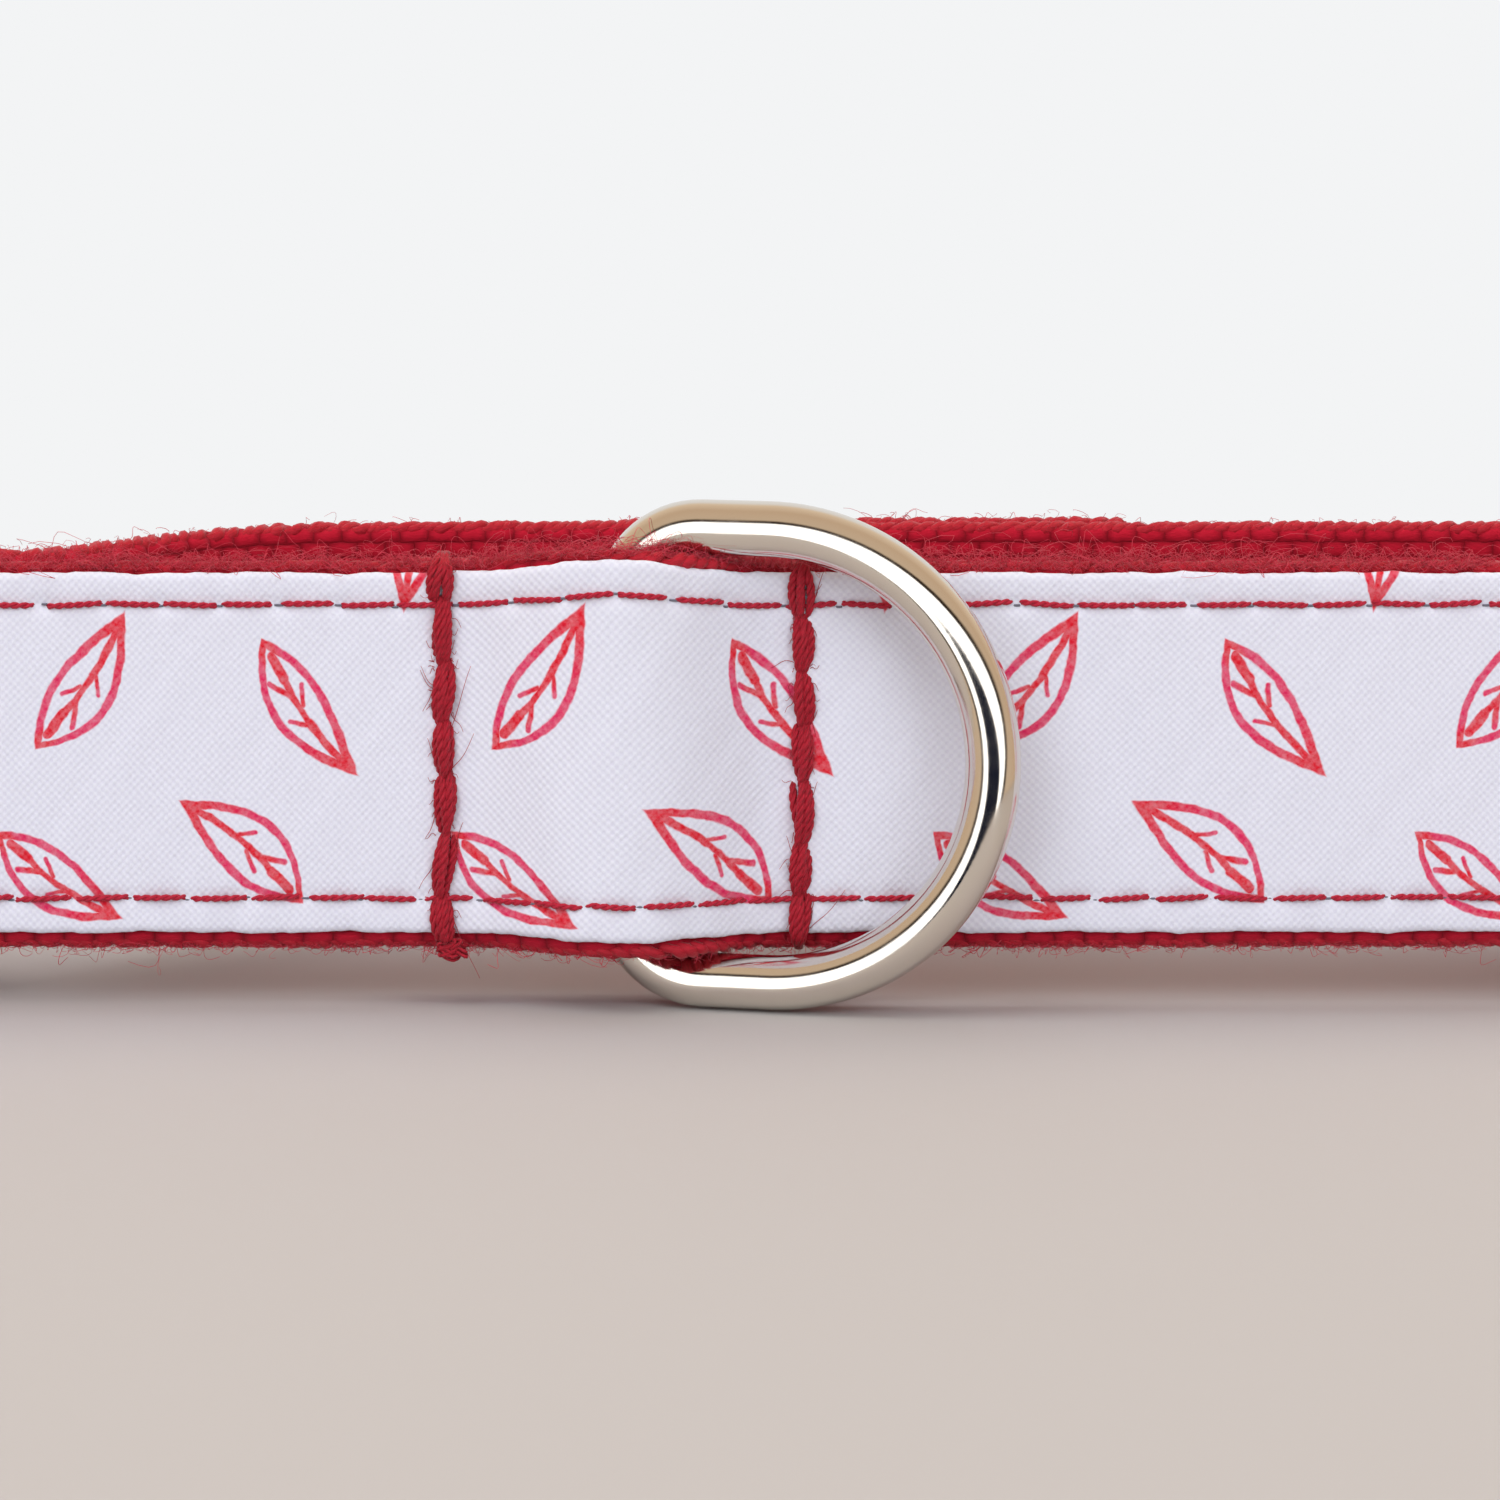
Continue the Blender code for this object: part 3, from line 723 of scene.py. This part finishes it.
def on_stations(line, outline):
    """The outline's offsets and heights, and the arc length, at every station of the line."""
    offset, height = np.repeat(outline.T[:, None], len(line.u), 1)
    return offset, height, np.repeat(line.u[:, None], len(outline), 1)


def webbing(name, line, body, replaced, seed, tunnel=None):
    """A woven band: softly ribbed faces and lumpy selvedges."""
    outline = webbing_outline(WEBBING_WIDTH / 2 - 0.25, WEBBING_THICK)
    offset, height, u = on_stations(line, outline)
    side = np.where(offset > WEBBING_THICK / 2, 1, -1)
    uv = np.stack([u, np.where(side > 0, height, 40 - height)], axis=-1)
    rib = 0.05 * np.sin(2 * math.pi * (u / YARN_LENGTH)) * np.sin(2 * math.pi * height / 2.1)
    edge = np.clip((np.abs(height) - 10.6) / 1.6, 0, 1)
    offset = offset + side * rib * (1 - edge) + edge * 0.10 * wobble(u + 3 * np.sign(height), seed, 3.1)
    lumps = 0.10 * wobble(u, seed + 1, 1.7) + 0.05 * np.sin(2 * math.pi * u / YARN_LENGTH)
    height = height + np.sign(height) * edge * lumps - BAND_DROP
    if tunnel is not None:
        height = height + lift_of(height, tunnel[:, None])
        rim = np.clip((np.abs(height) - 9.0) / 2.5, 0, 1)
        offset = offset + thinning(u) * rim * (1 - offset / WEBBING_THICK)
    shape = Shape()
    shape.grid(line.at(u, offset, height), uv)
    shape.build(name, "webbing", body, replaced)


def thinning(u):
    """How far the band's inner side is pressed out where the D-ring's limbs leave the tunnel."""
    return 1.25 * np.exp(-(((u - 3.2) / 3.4) ** 2))


def selvedge(name, line, body, seed, tunnel=None, step=0.28):
    """Yarns that turn back along both edges of the webbing: wavy strands, in and out of each other."""
    u = np.arange(line.u.min() + 0.4, line.u.max() - 0.4, step)
    share = line.share(u, tunnel)
    paths, radii = [], []
    for up in (1, -1):
        for strand in range(3):
            turn = 2 * math.pi * u / 2.5 + 2 * math.pi * strand / 3 + 1.2 * wobble(u, seed + strand, 9)
            height = WEBBING_WIDTH / 2 - 0.55 + 0.2 * np.sin(turn) + 0.08 * wobble(u, seed + 5 + strand, 2.2)
            height = up * height - BAND_DROP
            offset = WEBBING_THICK * (0.5 + 0.27 * np.cos(turn)) + 0.12 * wobble(u, seed + 9 + strand, 3.3)
            offset = offset + 0.6 * thinning(u) * (share > 0)
            paths.append(line.at(u, offset, height + lift_of(height, share)))
            radii.append(0.36 + 0.07 * wobble(u, seed + 12 + strand, 1.3))
    shape = Shape()
    shape.tubes(paths, radii, 7)
    shape.build(name, "yarn", body)


def fuzz(name, line, body, seed, count, tunnel=None, spans=None, length=0.33):
    """Loose curly cotton fibres that stand out of the webbing's edges."""
    rng = np.random.default_rng(seed)
    t = np.linspace(0, 1, 9)[None, :]

    def draw(low, high):
        return rng.uniform(low, high, (count, 1))

    u = draw(line.u.min() + 0.5, line.u.max() - 0.5)
    if spans:
        u = np.where(draw(0, 1) < 0.8, draw(*spans), u)
    up = np.where(draw(0, 1) < 0.68, 1.0, -1.0)
    long = rng.gamma(2.4, length, (count, 1))
    if spans:
        long = long * np.where((u > spans[0]) & (u < spans[1]), 1.0, 0.5)
    long = long * np.where(up > 0, 1.0, 0.55)
    lean, out, curl = (rng.normal(m, d, (count, 1)) for m, d in ((0, 1.1), (0.1, 0.5), (0, 2.4)))
    run = u + long * (lean * t + 0.30 * np.sin(curl * 2.2 * t + lean) - 0.30 * np.sin(lean))
    sway = 0.26 * np.sin(5.5 * t + curl) - 0.26 * np.sin(curl)
    rise = WEBBING_WIDTH / 2 - 0.3 + long * (0.62 * t + sway - 0.2 * t * t)
    offset = draw(0.0, WEBBING_THICK + 0.3) + long * (out * t + 0.15 * np.sin(6 * t + lean))
    share = line.share(run, tunnel)
    height = up * rise - BAND_DROP + TUNNEL_STRETCH * share * (up > 0)
    radius = draw(0.016, 0.027) * (1 - 0.35 * t)
    shape = Shape()
    shape.tubes(line.at(run, offset, height), radius, 3)
    shape.build(name, "fuzz", body)


def pucker(u, v):
    """How far the sewn cloth is drawn in towards the webbing."""
    hole = 0.5 + 0.5 * np.cos(2 * math.pi * u / STITCH_PITCH)
    return sum((0.10 + 0.14 * hole) * np.exp(-(((v - row) / 0.45) ** 2)) for row in (ROW_TOP, ROW_BOTTOM))


def printed_strip(name, line, body, replaced, seed, tunnel=None):
    """The cotton strip: folded soft edges, slight ripples and drawn-in rows."""
    half = PRINT_WIDTH / 2
    low, high = np.linspace(-half + 0.5, -8.4, 9), np.linspace(8.4, half - 0.5, 9)
    flat = np.concatenate([low, np.linspace(-8.0, 8.0, 24), high])
    turn = np.linspace(0.35, math.pi - 0.35, 6)
    inward = (PRINT_FAR - PRINT_NEAR) * (0.5 - 0.5 * np.cos(turn))
    top = np.stack([PRINT_FAR - inward, half - 0.5 + 0.5 * np.sin(turn)], 1)
    under = np.stack([np.full(6, PRINT_NEAR), np.linspace(half - 0.6, -half + 0.6, 6)], 1)
    face = np.stack([np.full(len(flat), PRINT_FAR), flat], 1)
    outline = np.concatenate([face, top, under, top[::-1] * (1, -1)])
    offset, height, u = on_stations(line, outline)
    uv = np.stack([printed_u(u) if tunnel is not None else u, height], axis=-1)
    front = offset > PRINT_FAR - 0.3
    edge = np.clip((np.abs(height) - 9.8) / 1.7, 0, 1)
    between = 0.5 - 0.5 * np.cos(2 * math.pi * u / STITCH_PITCH)
    ripple = 0.05 * wobble(u + 0.3 * height, seed, 9.0) + 0.03 * wobble(u - 0.7 * height, seed + 1, 4.0)
    ripple = ripple - pucker(u, height) + edge * (0.05 * between + 0.05 * wobble(u, seed + 2, 6.0))
    offset = offset + front * ripple
    sway = 0.10 * wobble(u, seed + 3, 7.0) + 0.05 * wobble(u, seed + 4, 1.9)
    height = height + np.sign(height) * edge * sway
    if tunnel is not None:
        height = height + lift_of(height, tunnel[:, None])
        offset = offset - row_dent(u)
    shape = Shape()
    shape.grid(line.at(u, offset, height), uv)
    shape.build(name, "print", body, replaced)


def printed_u(u):
    """Where the print's repeat lies along the control loop: the cloth is eased round the ring's tunnel."""
    eased = u - EASE * np.clip(u / 10.8, -1, 1)
    return eased + 0.085 * np.minimum(eased + 10, 0) + 0.1 * np.maximum(eased - 44, 0)


def row_dent(u):
    """The groove that the heavy rows pull into the strap."""
    return 0.28 * (np.exp(-(((np.abs(u) - ROW_U) / 0.9) ** 2)))


def stitch_places(line, margin):
    """Starts and rows of the straight stitches along a line."""
    first = math.ceil((line.u.min() + margin) / STITCH_PITCH)
    last = math.floor((line.u.max() - margin) / STITCH_PITCH)
    k = np.arange(first, last)[:, None] * STITCH_PITCH
    return np.concatenate([k, k + 1.4]), np.concatenate([0 * k + ROW_TOP, 0 * k + ROW_BOTTOM])


def top_stitches(name, line, body, seed, tunnel=None, margin=2.5):
    """Two rows of straight stitches in two-ply thread, and the lower thread's loops between them."""
    rng = np.random.default_rng(seed)
    start, row = stitch_places(line, margin)
    start = start + rng.normal(0, 0.06, start.shape)
    t = np.linspace(0, 1, 17)[None, :]
    u = start + STITCH_LENGTH * rng.normal(1, 0.04, start.shape) * t
    share = line.share(u, tunnel)
    dent = row_dent(u) if tunnel is not None else 0
    v = row + 0.10 * wobble(start, seed, 21.0) + rng.normal(0.05, 0.13, start.shape) * (t - 0.5)
    arch = np.sin(math.pi * t) ** 0.3
    depth = PRINT_FAR - 0.42 + 0.46 * arch - dent
    height = v + lift_of(v, share)
    twist = 2 * math.pi * u / 1.25 + rng.uniform(0, 6.28, start.shape)
    swell = 0.72 + 0.28 * arch
    shape = Shape()
    for ply in (0, math.pi):
        offset = depth + 0.105 * np.cos(twist + ply) * swell
        rise = height + 0.11 * np.sin(twist + ply) * swell
        shape.tubes(line.at(u, offset, rise), PLY_RADIUS * swell, 6)
    shape.build(name, "thread", body)
    t = t[:, ::3]
    middle = start - (STITCH_PITCH - STITCH_LENGTH) / 2
    u = middle + (t - 0.5) * rng.uniform(0.3, 0.6, start.shape)
    share = line.share(u, tunnel)
    dent = row_dent(u) if tunnel is not None else 0
    v = row + 0.10 * wobble(start, seed, 21.0) - 0.08 + rng.normal(0, 0.05, start.shape)
    shape = Shape()
    depth = PRINT_FAR - 0.22 + 0.08 * np.sin(math.pi * t) - dent
    shape.tubes(line.at(u, depth, v + lift_of(v, share)), 0.08, 5)
    shape.build(name + "_under", "bobbin", body)


def heavy_row(name, line, u_row, body, replaced, seed, face, spread=0.42, half=12.45, flare=0.55, lump=False):
    """A row of doubled-back stitches: thick twisted threads that swell between shared needle holes."""
    rng = np.random.default_rng(seed)
    shape = Shape()
    t = np.linspace(0, 1, 19)
    holes = [-half]
    while holes[-1] < half - 1.2:
        holes.append(min(holes[-1] + rng.uniform(2.9, 4.1), half))
    paths = []
    for low, high in zip(holes, holes[1:]):
        for column in (-1.0, -0.3, 0.35, 1.0):
            z = low - 0.2 + (high - low + 0.4) * t
            swell = np.sin(math.pi * np.clip(t, 0.02, 0.98)) ** rng.uniform(0.55, 1.0)
            top = np.clip((z - 7.0) / 5.5, 0, 1) ** 1.5 * flare
            lean, push = rng.normal(0, 0.3), rng.normal(0, 0.07)
            middle = (column * spread * (0.35 + 0.75 * swell) + push + lean * (t - 0.5)) * (1 + top)
            middle = middle + 0.2 * wobble(z, seed + 30, 14.0)
            rise = -0.3 + 0.72 * swell + (0.16 if abs(column) < 0.5 else 0.0) + rng.normal(0, 0.06)
            rise = rise - 0.9 * np.clip((np.abs(z) - half + 0.75) / 0.9, 0, 1) ** 2
            twist = 2 * math.pi * z / rng.uniform(1.7, 2.3) + rng.uniform(0, 6.28)
            for ply in range(3):
                turn = twist + ply * 2 * math.pi / 3
                du = middle + 0.17 * np.sin(turn) * (0.5 + 0.5 * swell)
                dn = rise + 0.16 * np.cos(turn) * (0.5 + 0.5 * swell)
                paths.append(line.at(u_row + du, face + dn, z))
    shape.tubes(paths, 0.148 * (spread / 0.42) ** 0.4, 6, up=(1, 0, 0))
    hairs, t = 60, np.linspace(0, 1, 9)[None, :]
    place, long = rng.uniform(-half, half, (hairs, 1)), rng.gamma(2.0, 0.36, (hairs, 1))
    side, lean = rng.choice([-1.0, 1.0], (hairs, 1)), rng.normal(0, 1.0, (hairs, 1))
    du = side * (spread + 0.1 + long * t * 0.7)
    dz = place + long * lean * t + 0.16 * np.sin(5 * t + lean * 2)
    dn = 0.25 + long * rng.uniform(-0.1, 0.3, (hairs, 1)) * t
    shape.tubes(line.at(u_row + du, face + dn, dz), 0.028 - 0.014 * t, 4, up=(1, 0, 0))
    if lump:
        knots, t = 40, np.linspace(0, 1, 10)[None, :]
        a, b, c = (rng.uniform(0, 6.28, (knots, 1)) for _ in range(3))
        du = rng.normal(0.35, 0.34, (knots, 1)) + 0.5 * np.sin(4.5 * t + a)
        dz = -half - 0.1 + rng.normal(0, 0.24, (knots, 1)) + 0.34 * np.sin(4.0 * t + b)
        dn = rng.normal(-0.1, 0.2, (knots, 1)) + 0.35 * np.sin(3.5 * t + c)
        shape.tubes(line.at(u_row + du, face + dn, dz), 0.11, 5, up=(1, 0, 0))
    shape.build(name, "row", body, replaced)


# -------- hardware


def ring_outline(reach, corner, round_end):
    """(reach from the bar, height) round a ring; a round end has the limb height as its radius."""
    high = LIMB_Z - corner
    points = run((0, -high), (0, high), 24)
    points += bend((corner, high), corner, math.pi, math.pi / 2, 16)
    if round_end:
        far = reach - LIMB_Z
        points += run((corner, LIMB_Z), (far, LIMB_Z), 8)
        points += bend((far, 0), LIMB_Z, math.pi / 2, -math.pi / 2, 72)
        points += run((far, -LIMB_Z), (corner, -LIMB_Z), 8)
    else:
        far = reach - corner
        points += run((corner, LIMB_Z), (far, LIMB_Z), 10)
        points += bend((far, high), corner, math.pi / 2, 0, 16)
        points += run((reach, high), (reach, -high), 24)
        points += bend((far, -high), corner, 0, -math.pi / 2, 16)
        points += run((far, -LIMB_Z), (corner, -LIMB_Z), 10)
    points += bend((corner, -high), corner, -math.pi / 2, -math.pi, 16)
    return points


def ring(name, bar, turn, outline, body, replaced):
    """A smooth welded ring of round wire in its own plane, turned about its bar."""
    reach, height = np.array(outline).T
    path = np.stack([bar[0] + reach * math.cos(turn), bar[1] + reach * math.sin(turn), height], axis=1)
    plane_normal = (-math.sin(turn), math.cos(turn), 0)
    shape = Shape()
    shape.tubes(path[None], WIRE / 2, 40, closed=True, up=plane_normal)
    shape.build(name, "nickel", body, replaced)


def plate_bar(shape, path, thick_dirs, wide, thick, closed):
    """A bar of rounded flat section along a path, with its thin side along the given directions."""
    path, thin = np.asarray(path, float), np.asarray(thick_dirs, float)
    along = tangents(path, closed)
    thin = thin - np.sum(thin * along, axis=1)[:, None] * along
    thin /= np.linalg.norm(thin, axis=1)[:, None]
    across = np.cross(along, thin)
    angle = np.linspace(0, 2 * math.pi, 28, endpoint=False)
    a = np.sign(np.cos(angle)) * np.abs(np.cos(angle)) ** 0.45
    b = np.sign(np.sin(angle)) * np.abs(np.sin(angle)) ** 0.6
    sideways, through = across[:, None] * (a * wide / 2)[:, None], thin[:, None] * (b * thick / 2)[:, None]
    points = path[:, None] + (sideways + through)
    shape.grid(points, points[..., :2], closed)


def make_slider():
    """A bent plate with two windows: a rounded frame and a middle bar that the strap's end is sewn round."""
    low = WEBBING_THICK + GAP + 0.4 + GAP + SLIDER_THICK / 2
    deep = SLIDER_BAR_DEPTH

    def depth(t):
        return deep + (low - deep) * soft_step((abs(t) - SLIDER_BEND) / (SLIDER_SHOULDER - SLIDER_BEND))

    reach, high, corner = SLIDER_HALF_LENGTH - 1.5, RING_HEIGHT / 2 - 1.75, 2.6
    wide, tall, quarter = reach - corner, high - corner, math.pi / 2
    flat = bend((wide, tall), corner, 0, quarter, 10) + run((wide, high), (-wide, high), 44)
    flat += bend((-wide, tall), corner, quarter, 2 * quarter, 10) + run((-reach, tall), (-reach, -tall), 12)
    flat += bend((-wide, -tall), corner, 2 * quarter, 3 * quarter, 10) + run((-wide, -high), (wide, -high), 44)
    flat += bend((wide, -tall), corner, 3 * quarter, 4 * quarter, 10) + run((reach, -tall), (reach, tall), 12)
    path, dirs = [], []
    for t, z in flat:
        place = slider_point(t, depth(t))
        ahead = slider_point(t + 0.1, depth(t + 0.1)) - slider_point(t - 0.1, depth(t - 0.1))
        path.append((place.x, place.y, z))
        dirs.append((-ahead.y, ahead.x, 0))
    shape = Shape()
    plate_bar(shape, path, dirs, 3.3, SLIDER_THICK, True)
    bar = slider_point(0, deep)
    outward = slider_point(0, deep + 1) - bar
    path = [(bar.x, bar.y, z) for z in np.linspace(-high, high, 30)]
    plate_bar(shape, path, [(outward.x, outward.y, 0)] * len(path), 2 * SLIDER_BAR_HALF, SLIDER_THICK, False)
    shape.build("slider_plate", "nickel", "slider_body", "slider")


# -------- the collar


def nearest_u(line, point):
    return float(line.u[np.argmin(np.linalg.norm(line.p - np.array((point[0], point[1])), axis=1))])


def thin_row(name, line, point, body, replaced, seed, face=PRINT_FAR - 0.1):
    """A finer row of stitches at the station nearest to a plan point."""
    heavy_row(name, line, nearest_u(line, point), body, replaced, seed, face, *THIN_ROW)


def make_control_loop():
    band_points, cloth_points = control_loop_lines()
    bar_front = (0.0, FRONT_Y - TUNNEL_HEIGHT)
    cloth = Line(cloth_points, 0.3, zero=(0.0, FRONT_Y - TUNNEL_HEIGHT - PRINT_FAR), face=PRINT_FAR)
    band = Line(band_points, 0.4, zero=bar_front)
    tunnel, cloth_tunnel = tunnel_share(band), tunnel_share(cloth)
    webbing("control_loop_band", band, "control_loop", "control_loop_webbing", 11, tunnel)
    selvedge("control_loop_selvedge", band, "control_loop", 21, tunnel)
    fuzz("control_loop_fuzz", band, "control_loop", 31, 9000, tunnel, (-42, 56))
    printed_strip("control_loop_cotton", cloth, "control_loop", "control_loop_print", 41, cloth_tunnel)
    top_stitches("control_loop_top_stitches", cloth, "control_loop", 51, cloth_tunnel)
    tab_y = FRONT_Y + GAP
    tab = Line([Vector((TAB_HALF_LENGTH, tab_y)), Vector((-TAB_HALF_LENGTH, tab_y))], 0.4, zero=(0, tab_y))
    tab.n = -tab.n
    webbing("backing_layer", tab, "control_loop", "d_ring_backing_tab", 61)
    selvedge("backing_selvedge", tab, "control_loop", 71)
    for side, x, seed in zip(("left", "right"), CLOSURE_STITCHES_X, (141, 151)):
        place = (x, BACK_Y + WEBBING_THICK + GAP + PRINT_FAR)
        thin_row("closure_row_" + side, cloth, place, "control_loop", "loop_closure_stitch_" + side, seed)
    right, left = nearest_u(cloth, (ROW_X + 0.25, 0)), nearest_u(cloth, (-ROW_X, 0))
    heavy_row("ring_row_right", cloth, right, "control_loop", "d_ring_stitch_right", 81, PRINT_FAR - 0.3)
    heavy_row(
        "ring_row_left", cloth, left, "control_loop", "d_ring_stitch_left", 91, PRINT_FAR - 0.3, lump=True
    )


def make_neck():
    band_points, cloth_points = neck_lines()
    front_bar = ring_bars(-1)[1]
    band = Line(band_points, 0.4)
    cloth = Line(cloth_points, 0.35, face=PRINT_FAR)
    webbing("neck_band", band, "neck_strap", "neck_webbing", 161)
    selvedge("neck_selvedge", band, "neck_strap", 171)
    fuzz("neck_fuzz", band, "neck_strap", 181, 4500)
    printed_strip("neck_cotton", cloth, "neck_strap", "neck_print", 191)
    top_stitches("neck_top_stitches", cloth, "neck_strap", 201, margin=6)
    for end, s, seed in zip(("near", "far"), FRONT_STITCHES, (211, 221)):
        place = arm_point(front_bar, -1, s, WRAP_RADIUS + PRINT_FAR)
        thin_row("neck_row_" + end, cloth, place, "neck_strap", "neck_end_stitch_" + end, seed)


def make_slider_end():
    flap = Line(flap_line(), 0.35)
    webbing("slider_end_band", flap, "slider_body", "slider_end_webbing", 231)
    selvedge("slider_end_selvedge", flap, "slider_body", 241)
    place = slider_point(FLAP_STITCH, -3.8)
    thin_row("slider_end_row", flap, place, "slider_body", "slider_end_stitch", 251, WEBBING_THICK)


def make_rings():
    outline = ring_outline(D_RING_REACH, D_RING_CORNER, True)
    ring("leash_ring", D_RING_BAR, D_RING_TILT, outline, "leash_ring", "d_ring")
    outline = ring_outline(RING_REACH, RING_CORNER, False)
    for end, side in (("front", -1), ("rear", 1)):
        bar = ring_bars(side)[1]
        ring(end + "_neck_ring", bar, -side * RING_SPREAD, outline, end + "_ring", "neck_ring_" + end)


def make_stage():
    floor_material, _, shader = new_material("pale_floor")
    shader.inputs["Base Color"].default_value = srgb(188, 186, 187)
    shader.inputs["Roughness"].default_value = 0.7
    mesh = bpy.data.meshes.new("floor")
    x, front, back = 1.2, -1.2, 0.22
    mesh.from_pydata([(-x, front, 0), (x, front, 0), (x, back, 0), (-x, back, 0)], [], [(0, 1, 2, 3)])
    mesh.materials.append(floor_material)
    floor = new_object("floor", mesh)
    floor.location.z = -0.0001


def make_world():
    """A white wall behind and, for the rings to mirror, a bright window in a tan room, dark at its sill."""
    world = bpy.data.worlds.new("studio")
    world.use_nodes = True
    bpy.context.scene.world = world
    n = Nodes(world.node_tree)
    back = world.node_tree.nodes["Background"]
    way = n.add("ShaderNodeTexCoord").outputs["Generated"]
    x, y, z = n.separate(way)
    room = n.add("ShaderNodeValToRGB")
    n.link(n.math("MULTIPLY_ADD", y, -0.5, 0.5), room.inputs[0])
    stops = (
        (0.0, srgb(243, 244, 245)),
        (0.12, srgb(243, 243, 243)),
        (0.22, srgb(238, 216, 190)),
        (0.45, srgb(214, 188, 160)),
        (1.0, srgb(222, 202, 178)),
    )
    ramp = room.color_ramp
    ramp.elements.remove(ramp.elements[1])
    ramp.elements[0].position, ramp.elements[0].color = stops[0]
    for place, colour in stops[1:]:
        ramp.elements.new(place).color = colour
    front = n.math("LESS_THAN", y, 0.0)
    colour = room.outputs[0]
    panes = (
        ((0.03, 0.30), (0.84, 0.55), srgb(52, 40, 34)),
        ((0.03, 0.30), (0.74, 0.45), (2.1, 2.12, 2.15, 1)),
        ((0.02, 0.11), (0.40, 0.26), srgb(20, 25, 44)),
    )
    for (px, pz), (wide, high), paint in panes:
        across = n.math("DIVIDE", n.math("SUBTRACT", x, px), wide)
        upward = n.math("DIVIDE", n.math("SUBTRACT", z, pz), high)
        far = n.vector("LENGTH", n.combine(across, upward))
        colour = n.mix(n.math("MULTIPLY", n.remap(far, 1.04, 0.96), front), colour, paint)
    n.link(colour, back.inputs["Color"])
    back.inputs["Strength"].default_value = 1.0


def add_light(name, place, target, size, power, colour=(1, 1, 1)):
    data = bpy.data.lights.new(name, "AREA")
    data.shape = "RECTANGLE"
    data.size, data.size_y = size
    data.energy = power
    data.color = colour
    obj = new_object(name, data)
    obj.location = place
    obj.rotation_euler = (Vector(target) - Vector(place)).to_track_quat("-Z", "Y").to_euler()
    obj.visible_glossy = False


CAMERA_ELEVATION = math.radians(8.5)
CAMERA_DISTANCE = 395.0
VIEW_X = 8.1
VIEW_Z = 0.25


def make_camera():
    target = to_world([VIEW_X, 0, VIEW_Z])
    data = bpy.data.cameras.new("camera")
    data.lens = 150
    data.sensor_width = 36
    data.clip_start = 0.01
    camera = new_object("camera", data)
    away = np.array([0, -math.cos(CAMERA_ELEVATION), math.sin(CAMERA_ELEVATION)])
    camera.location = target + CAMERA_DISTANCE * MM * away
    camera.rotation_euler = (math.pi / 2 - CAMERA_ELEVATION, 0, 0)
    bpy.context.scene.camera = camera


def make_lights():
    middle = tuple(to_world([8, 0, 0]))
    add_light("key", (middle[0] - 0.30, middle[1] - 0.30, 0.75), middle, (0.5, 0.4), 2.3, (0.965, 0.985, 1))
    add_light("top", (middle[0] + 0.1, middle[1] + 0.28, 0.7), middle, (0.8, 0.4), 1.2)


MATERIALS = {
    "webbing": webbing_material(),
    "yarn": thread_material("selvedge_yarn", srgb(152, 6, 28), srgb(206, 26, 52), 3.0),
    "fuzz": thread_material("loose_fibre", srgb(200, 36, 62), srgb(222, 70, 92), 1.0),
    "print": print_material(),
    "thread": thread_material("sewing_thread", srgb(150, 14, 40), srgb(214, 34, 66), 4.0),
    "row": thread_material("heavy_row_thread", srgb(122, 6, 25), srgb(204, 24, 52), 3.0),
    "bobbin": thread_material("under_thread", srgb(96, 96, 112), srgb(140, 138, 152), 4.0),
    "nickel": nickel_material(),
}

make_camera()
make_stage()
make_world()
make_lights()
make_control_loop()
make_rings()
make_neck()
make_slider()
make_slider_end()

bpy.context.scene.view_settings.view_transform = "Standard"
